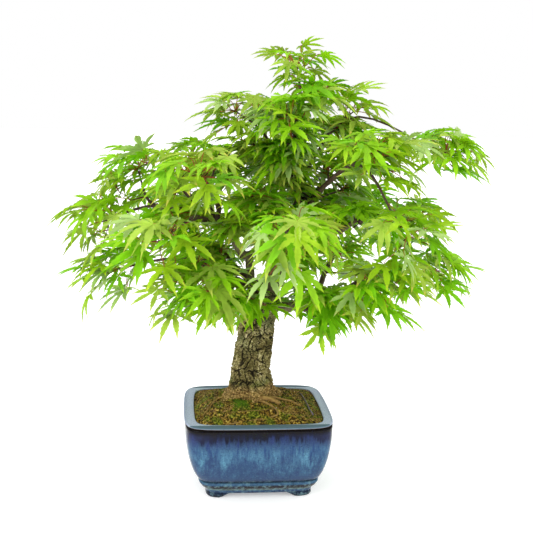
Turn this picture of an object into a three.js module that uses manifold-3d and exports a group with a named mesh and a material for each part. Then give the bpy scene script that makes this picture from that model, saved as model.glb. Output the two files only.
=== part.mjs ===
// A Japanese maple grown as a bonsai, in a glazed stoneware pot with four corner feet.
// Millimetres, +Z up. The front is -Y. The origin is the middle of the plant's footprint, on the
// surface that the feet stand on. Every piece is one closed solid with a node of its own.
import * as THREE from "three";
import { mergeVertices } from "three/addons/utils/BufferGeometryUtils.js";
import Module from "manifold-3d";

const wasm = await Module();
wasm.setup();

// ---- Driving dimensions, in the pot's own frame: X and Y from the middle of the pot ----

const GAP = 0.3; // clearance between two pieces that touch

const POT = {
  width: 200, // across the rim, at the middle of its sides
  depth: 185,
  height: 109,
  rimWidth: 14, // the flat top of the rim
  rimDepth: 7, // how far down the opening keeps the rim's width
  wall: 9,
  bellyInset: 30, // how far in the belly would curve at its very foot
  bellyFoot: 20, // height where the belly's quarter ellipse ends
  bandTop: 23,
  bandFoot: 13,
  bandInset: 20,
  plinthInset: 28,
  floor: 12, // thickness of the pot's bottom
  footHeight: 7,
  footLength: 27, // of each arm of a corner foot
  footWidth: 13,
  drain: 9, // radius of the drain hole
  corner: 10, // exponent of the outline's rounded corners: larger is squarer
  bulge: 0.035, // how much further out the middle of a side is than its ends
};

const SOIL = {
  edge: 104, // height where the soil meets the pot's wall
  crest: 127, // height of the mound under the trunk
  seat: [44, 40], // half sizes of the level crest that carries the trunk
  roughness: 1.4,
};

const TRUNK = {
  route: [
    [-10, 0, SOIL.crest + GAP],
    [-8, 0, 150],
    [-4, 1, 190],
    [1, 1, 235],
    [5, 0, 262],
  ],
  foot: 25, // radius above the root flare
  top: 22.5,
  flare: 12, // how far the roots spread beyond that at the soil
  flareHeight: 34,
  roots: 5,
};

// The trunk divides into the leader and three main boughs. A limb is [radius at its start, radius at its end].
const MAIN_LIMBS = {
  leader: {
    route: [
      [8, 0, 250],
      [18, 2, 290],
      [33, 3, 330],
      [52, 2, 366],
      [61, 0, 396],
    ],
    radii: [15, 10],
  },
  leader_top: {
    route: [
      [57, 2, 374],
      [50, 0, 420],
      [51, -2, 462],
      [47, 0, 500],
      [53, 0, 550],
    ],
    radii: [5.5, 2.5],
  },
  bough_left: {
    route: [
      [0, -4, 250],
      [-6, -8, 296],
      [-26, -8, 340],
      [-62, -4, 372],
      [-120, 0, 388],
      [-180, 0, 386],
    ],
    radii: [9, 3],
  },
  bough_right: {
    route: [
      [46, 2, 350],
      [93, 4, 352],
      [131, 2, 366],
      [169, 0, 391],
      [204, -2, 416],
      [235, -4, 458],
    ],
    radii: [6.5, 2.5],
  },
  bough_low_right: {
    route: [
      [10, -2, 252],
      [40, -6, 250],
      [72, -10, 251],
      [102, -10, 264],
      [160, -4, 290],
      [235, 0, 300],
    ],
    radii: [7.5, 3],
  },
};

// The crown is a dome of foliage in tiers. A mass stands at a station: its bearing round the crown's
// axis in degrees from +X, how far out it reaches from the axis, and its height. Each tier holds its
// masses' half length, half width and half thickness, how steeply their outer edges hang in degrees,
// the radius of the boughs that carry them, and the stretch of the parent limb those boughs leave.
const CROWN_AXIS = 30;
const TIERS = [
  {
    name: "low",
    size: [80, 72, 29],
    droop: 14,
    bough: 4.5,
    springs: [0, 0.28],
    stations: {
      right: [0, 220, 302],
      front_right: [-50, 176, 302],
      front_left: [-130, 176, 300],
      left: [180, 222, 303],
      back_left: [128, 172, 306],
      back_right: [52, 172, 306],
    },
  },
  {
    name: "middle",
    size: [82, 74, 38],
    droop: 22,
    bough: 4.5,
    springs: [0.38, 0.66],
    stations: {
      right: [4, 182, 370],
      front_right: [-46, 198, 366],
      front: [-92, 190, 372],
      front_left: [-138, 216, 366],
      left: [180, 238, 366],
      back_left: [138, 214, 370],
      back: [90, 190, 366],
      back_right: [46, 200, 370],
    },
  },
  {
    name: "shoulder",
    size: [84, 68, 35],
    droop: 16,
    bough: 4,
    springs: [0.7, 0.95],
    stations: {
      right: [0, 226, 466],
      front_right: [-50, 160, 462],
      front_left: [-132, 168, 440],
      left: [180, 192, 438],
      back_left: [134, 176, 436],
      back: [88, 134, 446],
      back_right: [50, 172, 456],
    },
  },
  {
    name: "upper",
    size: [64, 60, 33],
    droop: 16,
    bough: 2.6,
    springs: [0.2, 0.45],
    stations: {
      right: [0, 92, 518],
      front: [-90, 82, 508],
      left: [180, 62, 514],
      back: [90, 84, 510],
    },
  },
];

// Two masses that belong to no tier: the crown's top, and a spray that hangs below the low right bough.
const APEX = { at: [45, 0, 570], size: [60, 56, 38], out: 0, droop: 0, seed: 1 };
const HANGING = { at: [71, -66, 232], size: [36, 32, 22], out: 0, droop: 0, seed: 6, bough: 2.6 };

const COLOURS = {
  glaze: 0x2c4a78,
  soil: 0x5c4f22,
  bark: 0x6b6342,
  youngBark: 0x5d4238,
  leaf: 0x6fae1c,
};

// ---- Repeatable unevenness ----

// A smooth bumpy value from -1 to 1 for a direction or place: a few sine waves that cross.
function bumps(x, y, z, seed) {
  return (
    (Math.sin(2.1 * x + 1.7 * y + seed) +
      Math.sin(2.7 * y - 1.9 * z + 2.3 * seed) +
      Math.sin(2.3 * z + 3.1 * x + 4.1 * seed)) /
    3
  );
}

// ---- Solids ----

// A geometry as a manifold solid, its vertices merged by position alone.
function solidOf(geometry) {
  const bare = new THREE.BufferGeometry();
  bare.setAttribute("position", geometry.attributes.position);
  bare.setIndex(geometry.index);
  const merged = mergeVertices(bare, 1e-3);
  return new wasm.Manifold(
    new wasm.Mesh({
      numProp: 3,
      vertProperties: new Float32Array(merged.attributes.position.array),
      triVerts: new Uint32Array(merged.index.array),
    }),
  );
}

// A manifold solid back as a geometry.
function geometryOf(solid) {
  const mesh = solid.getMesh();
  const geometry = new THREE.BufferGeometry();
  geometry.setAttribute("position", new THREE.BufferAttribute(mesh.vertProperties, mesh.numProp));
  geometry.setIndex(new THREE.BufferAttribute(mesh.triVerts, 1));
  geometry.computeVertexNormals();
  return geometry;
}

// The largest of the separate bodies that a cut has left.
function largestBody(solid) {
  return solid.decompose().reduce((best, body) => (body.volume() > best.volume() ? body : best));
}

// A stack of closed outlines as one solid. outlineAt(level, angle) gives the point of an outline,
// with level counted from 0 at the bottom.
function stack(levels, sides, outlineAt) {
  const drum = new THREE.CylinderGeometry(1, 1, 1, sides, levels - 1);
  const position = drum.attributes.position;
  for (let i = 0; i < position.count; i++) {
    const level = Math.round((position.getY(i) + 0.5) * (levels - 1));
    const onAxis = Math.hypot(position.getX(i), position.getZ(i)) < 0.5;
    const angle = Math.atan2(-position.getZ(i), position.getX(i));
    const spot = onAxis ? middleOf(level, sides, outlineAt) : outlineAt(level, angle);
    position.setXYZ(i, ...spot);
  }
  return solidOf(drum);
}

// The middle of one outline of a stack, where its flat end closes.
function middleOf(level, sides, outlineAt) {
  const sum = [0, 0, 0];
  for (let i = 0; i < sides; i++) {
    outlineAt(level, (2 * Math.PI * i) / sides).forEach((value, axis) => (sum[axis] += value / sides));
  }
  return sum;
}

// A tapering limb along a smooth route. radiusAt(along, angle) runs from 0 at its start to 1 at its
// tip, and grow makes the same limb fatter and longer all round.
function limb(route, radiusAt, sides, steps, grow = 0) {
  const curve = new THREE.CatmullRomCurve3(route.map((point) => new THREE.Vector3(...point)));
  const { tangents, normals, binormals } = curve.computeFrenetFrames(steps - 1);
  return stack(steps, sides, (level, angle) => {
    const along = level / (steps - 1);
    const radius = radiusAt(along, angle) + grow;
    const overrun = level === 0 ? -grow : level === steps - 1 ? grow : 0;
    return curve
      .getPointAt(along)
      .addScaledVector(tangents[level], overrun)
      .addScaledVector(normals[level], radius * Math.cos(angle))
      .addScaledVector(binormals[level], radius * Math.sin(angle))
      .toArray();
  });
}

// ---- The pot ----

// A signed power that keeps its argument's sign, and takes a value that is all but nought as nought.
function signedPower(value, power) {
  return Math.abs(value) < 1e-9 ? 0 : Math.sign(value) * Math.abs(value) ** power;
}

// A point on the pot's outline for half sizes hx and hy: a rounded rectangle whose sides bow out.
function potOutline(hx, hy, angle) {
  const u = signedPower(Math.cos(angle), 2 / POT.corner);
  const v = signedPower(Math.sin(angle), 2 / POT.corner);
  return [hx * u * (1 - POT.bulge * v * v), hy * v * (1 - POT.bulge * u * u)];
}

// How far the belly has curved in at a height: a quarter ellipse from the rim to its foot.
function bellyInset(height) {
  const down = (POT.height - height) / (POT.height - POT.bellyFoot);
  return POT.bellyInset * (1 - Math.sqrt(Math.max(0, 1 - down * down)));
}

// A solid from [height, inset from the rim's outline] pairs, bottom first.
function potStack(profile) {
  return stack(profile.length, 32, (level, angle) => {
    const [height, inset] = profile[level];
    return [...potOutline(POT.width / 2 - inset, POT.depth / 2 - inset, angle), height];
  });
}

// Heights from the foot of the belly to the rim, closer together where the belly curves most.
function bellyHeights(from, to, count) {
  return Array.from({ length: count }, (_, i) => {
    const up = i / (count - 1);
    return from + (to - from) * up * (0.55 + 0.45 * up);
  });
}

// The whole pot: its body, hollowed and drained, on its four corner feet.
function pot() {
  const outside = potStack([
    [POT.footHeight, POT.plinthInset],
    [POT.bandFoot, POT.plinthInset - 1],
    [POT.bandFoot + 3, POT.bandInset],
    [POT.bandTop - 2, POT.bandInset],
    ...bellyHeights(POT.bandTop, POT.height - 1, 6).map((height) => [height, bellyInset(height)]),
    [POT.height, 0.6],
  ]);
  const drain = new THREE.CylinderGeometry(POT.drain, POT.drain, POT.height, 12)
    .rotateX(Math.PI / 2)
    .translate(0, 0, POT.height / 2);
  return outside.add(potFeet()).subtract(potCavity(0)).subtract(solidOf(drain));
}

// A low ring that follows the plinth's outline, less the arch on each side between two feet.
function potFeet() {
  const ring = potStack([
    [0, POT.plinthInset + 2],
    [POT.footHeight + 1, POT.plinthInset],
  ]).subtract(
    potStack([
      [-1, POT.plinthInset + POT.footWidth],
      [POT.footHeight + 2, POT.plinthInset + POT.footWidth],
    ]),
  );
  const archAlongX = new THREE.BoxGeometry(
    POT.width - 2 * (POT.plinthInset + POT.footLength),
    POT.depth,
    2 * POT.footHeight,
  );
  const archAlongY = new THREE.BoxGeometry(
    POT.width,
    POT.depth - 2 * (POT.plinthInset + POT.footLength),
    2 * POT.footHeight,
  );
  return ring.subtract(solidOf(archAlongX)).subtract(solidOf(archAlongY));
}

// The space inside the pot, closed in by `shrink` on every side.
function potCavity(shrink) {
  const bottom = POT.footHeight + POT.floor;
  const shoulder = POT.height - POT.rimDepth;
  return potStack([
    [bottom + shrink, bellyInset(bottom + 6) + POT.wall + 6 + shrink],
    ...bellyHeights(bottom + 6, shoulder - 5, 3).map((height) => [
      height,
      bellyInset(height) + POT.wall + shrink,
    ]),
    [shoulder, POT.rimWidth + shrink],
    [POT.height + 5 - 10 * shrink, POT.rimWidth + shrink],
  ]);
}

// ---- The soil ----

// It fills the cavity and rises from the wall to a level crest under the trunk.
function soil() {
  const sides = 32;
  const rings = 4;
  const wallInset = POT.rimWidth + GAP;
  const [seatX, seatY] = SOIL.seat;
  const below = 20;
  const mound = stack(rings + 2, sides, (level, angle) => {
    if (level === 0) return [...potOutline(POT.width, POT.depth, angle), 0];
    if (level === 1) return [...potOutline(POT.width, POT.depth, angle), SOIL.edge - below];
    const inward = (level - 1) / rings;
    const [x, y] = potOutline(POT.width / 2 - wallInset, POT.depth / 2 - wallInset, angle);
    const seat = [TRUNK.route[0][0] + seatX * Math.cos(angle), seatY * Math.sin(angle)];
    const ease = Math.sin((inward * Math.PI) / 2);
    const rough = level === rings + 1 ? 0 : SOIL.roughness * bumps(x / 20, y / 20, level, 3);
    const outward = 1.25 - 0.25 * inward;
    return [
      outward * (x + (seat[0] - x) * inward),
      outward * (y + (seat[1] - y) * inward),
      SOIL.edge + (SOIL.crest - SOIL.edge) * ease + rough,
    ];
  });
  return mound.intersect(potCavity(GAP));
}

// ---- Trunk and boughs ----

// The trunk, with a root flare that has a lobe for each surface root.
function trunk(grow = 0) {
  const { route, foot, top, flare, flareHeight, roots } = TRUNK;
  const height = route.at(-1)[2] - route[0][2];
  const solid = limb(
    route,
    (along, angle) => {
      const up = (along * height) / flareHeight;
      const spread = flare * Math.exp(-3 * up) * (1 + 0.35 * Math.cos(roots * angle + 0.6));
      return foot + (top - foot) * along + spread + 0.9 * bumps(2 * angle, 9 * along, 0, 1);
    },
    18,
    9,
    grow,
  );
  return grow ? solid : solid.trimByPlane([0, 0, 1], route[0][2]);
}

function mainLimb(name, grow = 0) {
  const { route, radii } = MAIN_LIMBS[name];
  const [start, end] = radii;
  const thick = start > 8;
  return limb(
    route,
    (along) => start + (end - start) * along,
    thick ? 9 : 6,
    8,
    grow,
  );
}

function pointOn(name, along) {
  const curve = new THREE.CatmullRomCurve3(
    MAIN_LIMBS[name].route.map((point) => new THREE.Vector3(...point)),
  );
  return curve.getPointAt(along);
}

// ---- Foliage ----

// One uneven, drooping mass. `out` is the bearing that it reaches along.
function foliage({ at, size, out, droop, seed }, grow = 0) {
  const ball = new THREE.IcosahedronGeometry(1, 2);
  const position = ball.attributes.position;
  const point = new THREE.Vector3();
  for (let i = 0; i < position.count; i++) {
    point.fromBufferAttribute(position, i);
    const uneven = 1 + 0.13 * bumps(point.x, point.y, point.z, seed);
    const underside = point.z < 0 ? 0.8 : 1;
    position.setXYZ(
      i,
      point.x * (size[0] * uneven + grow),
      point.y * (size[1] * uneven + grow),
      point.z * (size[2] * uneven * underside + grow),
    );
  }
  ball.rotateY(THREE.MathUtils.degToRad(droop));
  ball.rotateZ(THREE.MathUtils.degToRad(out));
  ball.translate(...at);
  return solidOf(ball);
}

// Where each mass is, with the name of its place in the crown.
function crownPlan() {
  const plan = [
    { name: "apex", ...APEX },
    { name: "hanging", spring: ["bough_low_right", 0.25], ...HANGING },
  ];
  for (const tier of TIERS) {
    Object.entries(tier.stations).forEach(([where, [bearing, reach, height]], i) => {
      const turn = THREE.MathUtils.degToRad(bearing);
      const spread = (i * 0.6) % 1;
      const [first, last] = tier.springs;
      plan.push({
        name: `${tier.name}_${where}`,
        at: [CROWN_AXIS + reach * Math.cos(turn), reach * Math.sin(turn), height],
        size: tier.size,
        out: bearing,
        droop: tier.droop,
        seed: plan.length * 1.7,
        bough: tier.bough,
        spring: springOf(tier.name, Math.cos(turn), first + (last - first) * spread),
      });
    });
  }
  return plan;
}

// The masses that a main limb runs straight into, which need no bough of their own.
const FED_BY_MAIN_LIMB = ["apex", "middle_left", "shoulder_right", "low_right"];

// The main limb that a mass's bough leaves, and how far along it, for its tier, the side of the crown
// from -1 at the left to 1 at the right, and its share of the tier's stretch.
function springOf(tier, side, share) {
  if (tier === "upper") return ["leader_top", share];
  if (side < -0.5 && tier === "low") return ["bough_left", 0.06 + 0.4 * share];
  if (side < -0.5) return ["bough_left", 0.25 + 0.35 * share];
  if (side > 0.5 && tier === "middle") return ["bough_right", 0.25 + 0.3 * share];
  if (side > 0.5 && tier === "low") return ["bough_low_right", 0.3 + share];
  return ["leader", share];
}

// The route of a mass's own bough: out from its limb, arching up, then into the mass.
function boughRoute(mass) {
  const start = pointOn(...mass.spring);
  const end = new THREE.Vector3(...mass.at);
  const way = end.clone().sub(start);
  const aside = new THREE.Vector3(-way.y, way.x, 0).multiplyScalar(0.06 * Math.sin(5 * mass.seed));
  const rise = new THREE.Vector3(0, 0, 0.1 * way.length());
  const third = start.clone().addScaledVector(way, 0.33).add(aside).add(rise);
  const last = start.clone().addScaledVector(way, 0.7).sub(aside).add(rise);
  return [start, third, last, end].map((point) => point.toArray());
}

function ownBough(mass, grow = 0) {
  return limb(boughRoute(mass), (along) => mass.bough * (1 - 0.45 * along), 5, 6, grow);
}

// ---- Assembly ----

const bark = new THREE.MeshStandardMaterial({ color: COLOURS.bark, roughness: 0.9 });
const youngBark = new THREE.MeshStandardMaterial({ color: COLOURS.youngBark, roughness: 0.7 });
const leaf = new THREE.MeshStandardMaterial({ color: COLOURS.leaf, roughness: 0.55 });
const glaze = new THREE.MeshStandardMaterial({ color: COLOURS.glaze, roughness: 0.15 });
const earth = new THREE.MeshStandardMaterial({ color: COLOURS.soil, roughness: 1 });

const plant = new THREE.Group();

function place(name, solid, material) {
  const mesh = new THREE.Mesh(geometryOf(largestBody(solid)), material);
  mesh.name = name;
  plant.add(mesh);
}

place("pot", pot(), glaze);
place("soil", soil(), earth);
place("trunk", trunk(), bark);

// Each limb is cut by the ones before it, so that it meets them face to face.
const plan = crownPlan();
let wood = trunk(GAP);
const masses = plan.map((mass) => foliage(mass, 1.5 * GAP));
const allFoliage = wasm.Manifold.union(masses);

for (const name of Object.keys(MAIN_LIMBS)) {
  place(name, mainLimb(name).subtract(wood).subtract(allFoliage), bark);
  wood = wood.add(mainLimb(name, GAP));
}
for (const mass of plan) {
  if (FED_BY_MAIN_LIMB.includes(mass.name)) continue;
  place(`bough_to_${mass.name}`, ownBough(mass).subtract(wood).subtract(allFoliage), youngBark);
  wood = wood.add(ownBough(mass, GAP));
}

// Each mass gives way to the trunk line and to the masses above it.
let above = mainLimb("leader_top", GAP);
plan.forEach((mass, i) => {
  const whole = foliage(mass);
  const cut = mass.name === "apex" ? whole : whole.subtract(above);
  place(`foliage_${mass.name}`, cut, leaf);
  above = above.add(masses[i]);
});

// The origin goes to the middle of the footprint, at the level of the feet.
const middle = new THREE.Box3().setFromObject(plant).getCenter(new THREE.Vector3());
plant.position.set(-middle.x, -middle.y, 0);

const potted = new THREE.Group();
potted.add(plant);

export default potted;
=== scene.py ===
"""The looks of a Japanese maple grown as a bonsai: glazed pot, soil, bark, twigs and leaves.

Lengths are in metres and +Z is up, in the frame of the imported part. Every piece is worked out from
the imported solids: limbs keep their routes, and leaves fill the foliage masses' own outlines.
"""

from __future__ import annotations

import logging
import math
from dataclasses import dataclass, field
from enum import Enum

import bpy
import numpy as np
from mathutils import Matrix, Vector

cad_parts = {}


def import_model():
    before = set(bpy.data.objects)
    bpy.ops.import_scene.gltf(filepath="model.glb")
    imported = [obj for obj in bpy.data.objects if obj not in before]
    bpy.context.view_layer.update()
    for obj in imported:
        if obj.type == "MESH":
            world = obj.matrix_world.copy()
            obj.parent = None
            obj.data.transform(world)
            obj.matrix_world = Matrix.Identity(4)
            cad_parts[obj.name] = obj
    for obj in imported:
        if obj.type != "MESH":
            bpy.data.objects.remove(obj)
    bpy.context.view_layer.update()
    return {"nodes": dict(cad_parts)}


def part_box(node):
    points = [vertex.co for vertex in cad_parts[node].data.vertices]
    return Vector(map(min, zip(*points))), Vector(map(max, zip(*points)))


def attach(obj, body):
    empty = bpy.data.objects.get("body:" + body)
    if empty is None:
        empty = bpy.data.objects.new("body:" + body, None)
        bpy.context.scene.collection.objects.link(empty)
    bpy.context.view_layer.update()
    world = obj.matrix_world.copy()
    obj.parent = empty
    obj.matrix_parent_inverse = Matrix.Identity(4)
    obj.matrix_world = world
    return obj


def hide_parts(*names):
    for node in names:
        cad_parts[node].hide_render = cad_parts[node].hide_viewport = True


LOG = logging.getLogger("bonsai")

Array = np.ndarray
Colour = tuple[float, float, float]
Socket = bpy.types.NodeSocket
Material = bpy.types.Material

MM = 0.001
UP = np.array([0.0, 0.0, 1.0])
BODY = "root"


# Numbers and fields


def unit(vectors: Array) -> Array:
    """The same vectors, one long each."""
    return vectors / np.maximum(np.linalg.norm(vectors, axis=-1, keepdims=True), 1e-12)


def smooth_step(low: float, high: float, values: Array) -> Array:
    """0 below low, 1 above high, and a smooth rise between them."""
    share = np.clip((values - low) / (high - low), 0.0, 1.0)
    return share * share * (3.0 - 2.0 * share)


def linear(colour: Colour) -> tuple[float, float, float, float]:
    """A display colour as the linear colour, with alpha, that a shader takes."""
    channels = [c / 12.92 if c <= 0.04045 else ((c + 0.055) / 1.055) ** 2.4 for c in colour]
    return (channels[0], channels[1], channels[2], 1.0)


def ripples(points: Array, wavelength: float, seed: int, waves: int = 12) -> Array:
    """A smooth uneven field over points in space.

    It is the sum of sine waves of one wavelength that run in scattered directions.

    Args:
        points: places, with x, y and z last.
        wavelength: the length of each wave.
        seed: picks the directions and phases.
        waves: how many waves cross.

    Returns:
        One value for each point, mostly from -1 to 1.
    """
    rng = np.random.default_rng(seed)
    ways = unit(rng.normal(size=(waves, 3)))
    phases = rng.random(waves) * math.tau
    return np.sin(points @ ways.T * (math.tau / wavelength) + phases).sum(-1) / math.sqrt(waves)


def cell_borders(around: Array, along: Array, count: int, seed: int) -> Array:
    """How far each place on a wrapped sheet is from the border between two cells.

    One point is scattered in each unit square of the sheet, and a cell is what lies nearest to it.
    The value is the distance to the second nearest point less the distance to the nearest one.

    Args:
        around: places across the sheet, which wraps at count.
        along: places along the sheet.
        count: how many cells go round.
        seed: picks the scattered points.

    Returns:
        0 on a border, rising to about 1 in the middle of a cell.
    """
    rng = np.random.default_rng(seed)
    row, column = np.floor(along).astype(int), np.floor(around).astype(int)
    first = row.min() - 1
    scattered = rng.random((row.max() - first + 2, count, 2))
    nearest = np.full(around.shape, 9.0)
    second = nearest.copy()
    for down in (-1, 0, 1):
        for aside in (-1, 0, 1):
            spot = scattered[row + down - first, (column + aside) % count]
            away = np.hypot(around - column - aside - spot[..., 0], along - row - down - spot[..., 1])
            second = np.minimum(second, np.maximum(nearest, away))
            nearest = np.minimum(nearest, away)
    return second - nearest


# Meshes


@dataclass
class Surface:
    """Vertices with the four-sided and three-sided faces between them.

    slots holds the material slot of each face, the four-sided ones first. height holds, for each
    vertex, how high it stands in the surface's relief, from 0 in a crack to 1 on a plate.
    """

    vertices: Array
    quads: Array = field(default_factory=lambda: np.zeros((0, 4), int))
    triangles: Array = field(default_factory=lambda: np.zeros((0, 3), int))
    slots: Array | None = None
    height: Array | None = None

    @staticmethod
    def joined(parts: list["Surface"]) -> "Surface":
        """Several surfaces as one, each kept as it is.

        Args:
            parts: the surfaces.

        Returns:
            One surface, with their slots and relief.
        """
        starts = np.cumsum([0] + [len(part.vertices) for part in parts])
        slots = None
        if parts[0].slots is not None:
            on_quads = [part.slots[: len(part.quads)] for part in parts]
            on_triangles = [part.slots[len(part.quads) :] for part in parts]
            slots = np.concatenate(on_quads + on_triangles)
        height = None
        if parts[0].height is not None:
            height = np.concatenate([part.height for part in parts])
        return Surface(
            np.concatenate([part.vertices for part in parts]),
            np.concatenate([part.quads + start for part, start in zip(parts, starts)]),
            np.concatenate([part.triangles + start for part, start in zip(parts, starts)]),
            slots,
            height,
        )

    def piece(self, name: str, *materials: Material, smooth: bool = True) -> bpy.types.Object:
        """Makes a named object of the surface, which rides on the plant's only body.

        Args:
            name: the piece's name.
            materials: one for each slot.
            smooth: whether its faces are shaded as a curved surface.

        Returns:
            The new object.
        """
        mesh = bpy.data.meshes.new(name)
        corners = np.concatenate([self.quads.ravel(), self.triangles.ravel()])
        quad_starts = np.arange(len(self.quads)) * 4
        triangle_starts = len(self.quads) * 4 + np.arange(len(self.triangles)) * 3
        starts = np.concatenate([quad_starts, triangle_starts])
        mesh.vertices.add(len(self.vertices))
        mesh.vertices.foreach_set("co", self.vertices.astype(np.float32).ravel())
        mesh.loops.add(len(corners))
        mesh.loops.foreach_set("vertex_index", corners.astype(np.int32))
        mesh.polygons.add(len(starts))
        mesh.polygons.foreach_set("loop_start", starts.astype(np.int32))
        mesh.polygons.foreach_set("use_smooth", np.full(len(starts), smooth))
        for material in materials:
            mesh.materials.append(material)
        if self.slots is not None:
            mesh.polygons.foreach_set("material_index", self.slots.astype(np.int32))
        if self.height is not None:
            relief = mesh.attributes.new("relief", "FLOAT", "POINT")
            relief.data.foreach_set("value", self.height.astype(np.float32))
        mesh.update(calc_edges=True)
        mesh.validate()
        made = bpy.data.objects.new(name, mesh)
        bpy.context.scene.collection.objects.link(made)
        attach(made, BODY)
        LOG.info("%s: %d faces", name, len(starts))
        return made


def grid_quads(rows: int, columns: int, wrap: bool) -> Array:
    """The faces between the vertices of a grid, stored row by row.

    Args:
        rows: how many rows of vertices.
        columns: how many vertices in a row.
        wrap: whether the last column joins the first.

    Returns:
        Four vertex numbers for each face. They face out of a tube whose columns run anticlockwise
        and whose rows run towards the viewer.
    """
    across = columns if wrap else columns - 1
    row, column = np.meshgrid(np.arange(rows - 1), np.arange(across), indexing="ij")
    after = (column + 1) % columns
    here, above = row * columns, (row + 1) * columns
    return np.stack([here + column, here + after, above + after, above + column], -1).reshape(-1, 4)


def closed_tube(rings: Array, height: Array | None = None) -> Surface:
    """A tube through rings of points, closed at both ends by fans.

    Args:
        rings: shape (rows, columns, 3).
        height: how high each point stands in the relief, with shape (rows, columns).

    Returns:
        The closed surface.
    """
    rows, columns = rings.shape[:2]
    if height is not None:
        height = np.concatenate([height.ravel(), height[[0, -1]].mean(1)])
    ends = np.stack([rings[0].mean(0), rings[-1].mean(0)])
    step = np.arange(columns)
    after = (step + 1) % columns
    low, high = rows * columns, rows * columns + 1
    last = (rows - 1) * columns
    foot = np.stack([np.full(columns, low), after, step], -1)
    head = np.stack([np.full(columns, high), last + step, last + after], -1)
    return Surface(
        np.concatenate([rings.reshape(-1, 3), ends]),
        grid_quads(rows, columns, wrap=True),
        np.concatenate([foot, head]),
        height=height,
    )


def rings_along(points: Array, radii: Array, sides: int) -> Array:
    """Circles of the given radii round paths.

    Each path's circles stand square to it, and share one sideways direction so that they don't twist.

    Args:
        points: shape (paths, rows, 3).
        radii: shape (paths, rows) or (paths, rows, sides).
        sides: how many points go round.

    Returns:
        Shape (paths, rows, sides, 3).
    """
    tangents = unit(np.gradient(points, axis=1))
    chords = unit(points[:, -1] - points[:, 0])
    fixed = np.where(np.abs(chords[:, 2:]) > 0.8, np.array([1.0, 0.0, 0.0]), UP)[:, None]
    sideways = unit(np.cross(fixed, tangents))
    upward = np.cross(tangents, sideways)
    angles = np.arange(sides) * math.tau / sides
    circle = (
        np.cos(angles)[:, None] * sideways[:, :, None] + np.sin(angles)[:, None] * upward[:, :, None]
    )
    wide = radii if radii.ndim == 3 else radii[..., None]
    return points[:, :, None] + wide[..., None] * circle


def many_tubes(points: Array, radii: Array, sides: int) -> Surface:
    """Plain tubes along several paths of as many points, joined into one surface."""
    rings = rings_along(points, radii, sides)
    return Surface.joined([closed_tube(ring) for ring in rings])


def resampled(points: Array, values: Array, rows: int) -> tuple[Array, Array]:
    """A path and the values along it, taken again at rows places evenly spaced along its length.

    Args:
        points: the path.
        values: one for each of its points.
        rows: how many places.

    Returns:
        The new points and values.
    """
    steps = np.linalg.norm(np.diff(points, axis=0), axis=1)
    travelled = np.concatenate([[0.0], np.cumsum(steps)])
    places = np.linspace(0.0, travelled[-1], rows)
    route = np.stack([np.interp(places, travelled, points[:, axis]) for axis in range(3)], -1)
    return route, np.interp(places, travelled, values)


def bezier(corners: Array, rows: int) -> Array:
    """Cubic curves through space: corners has shape (curves, 4, 3), the result (curves, rows, 3).

    Args:
        corners: each curve's two ends and the two points between that pull it.
        rows: points on each curve.

    Returns:
        Points on the curves.
    """
    t = np.linspace(0.0, 1.0, rows)[:, None]
    weights = np.stack([(1 - t) ** 3, 3 * t * (1 - t) ** 2, 3 * t * t * (1 - t), t**3])
    return np.einsum("kro,nkx->nrx", weights, corners)


# Materials


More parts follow.
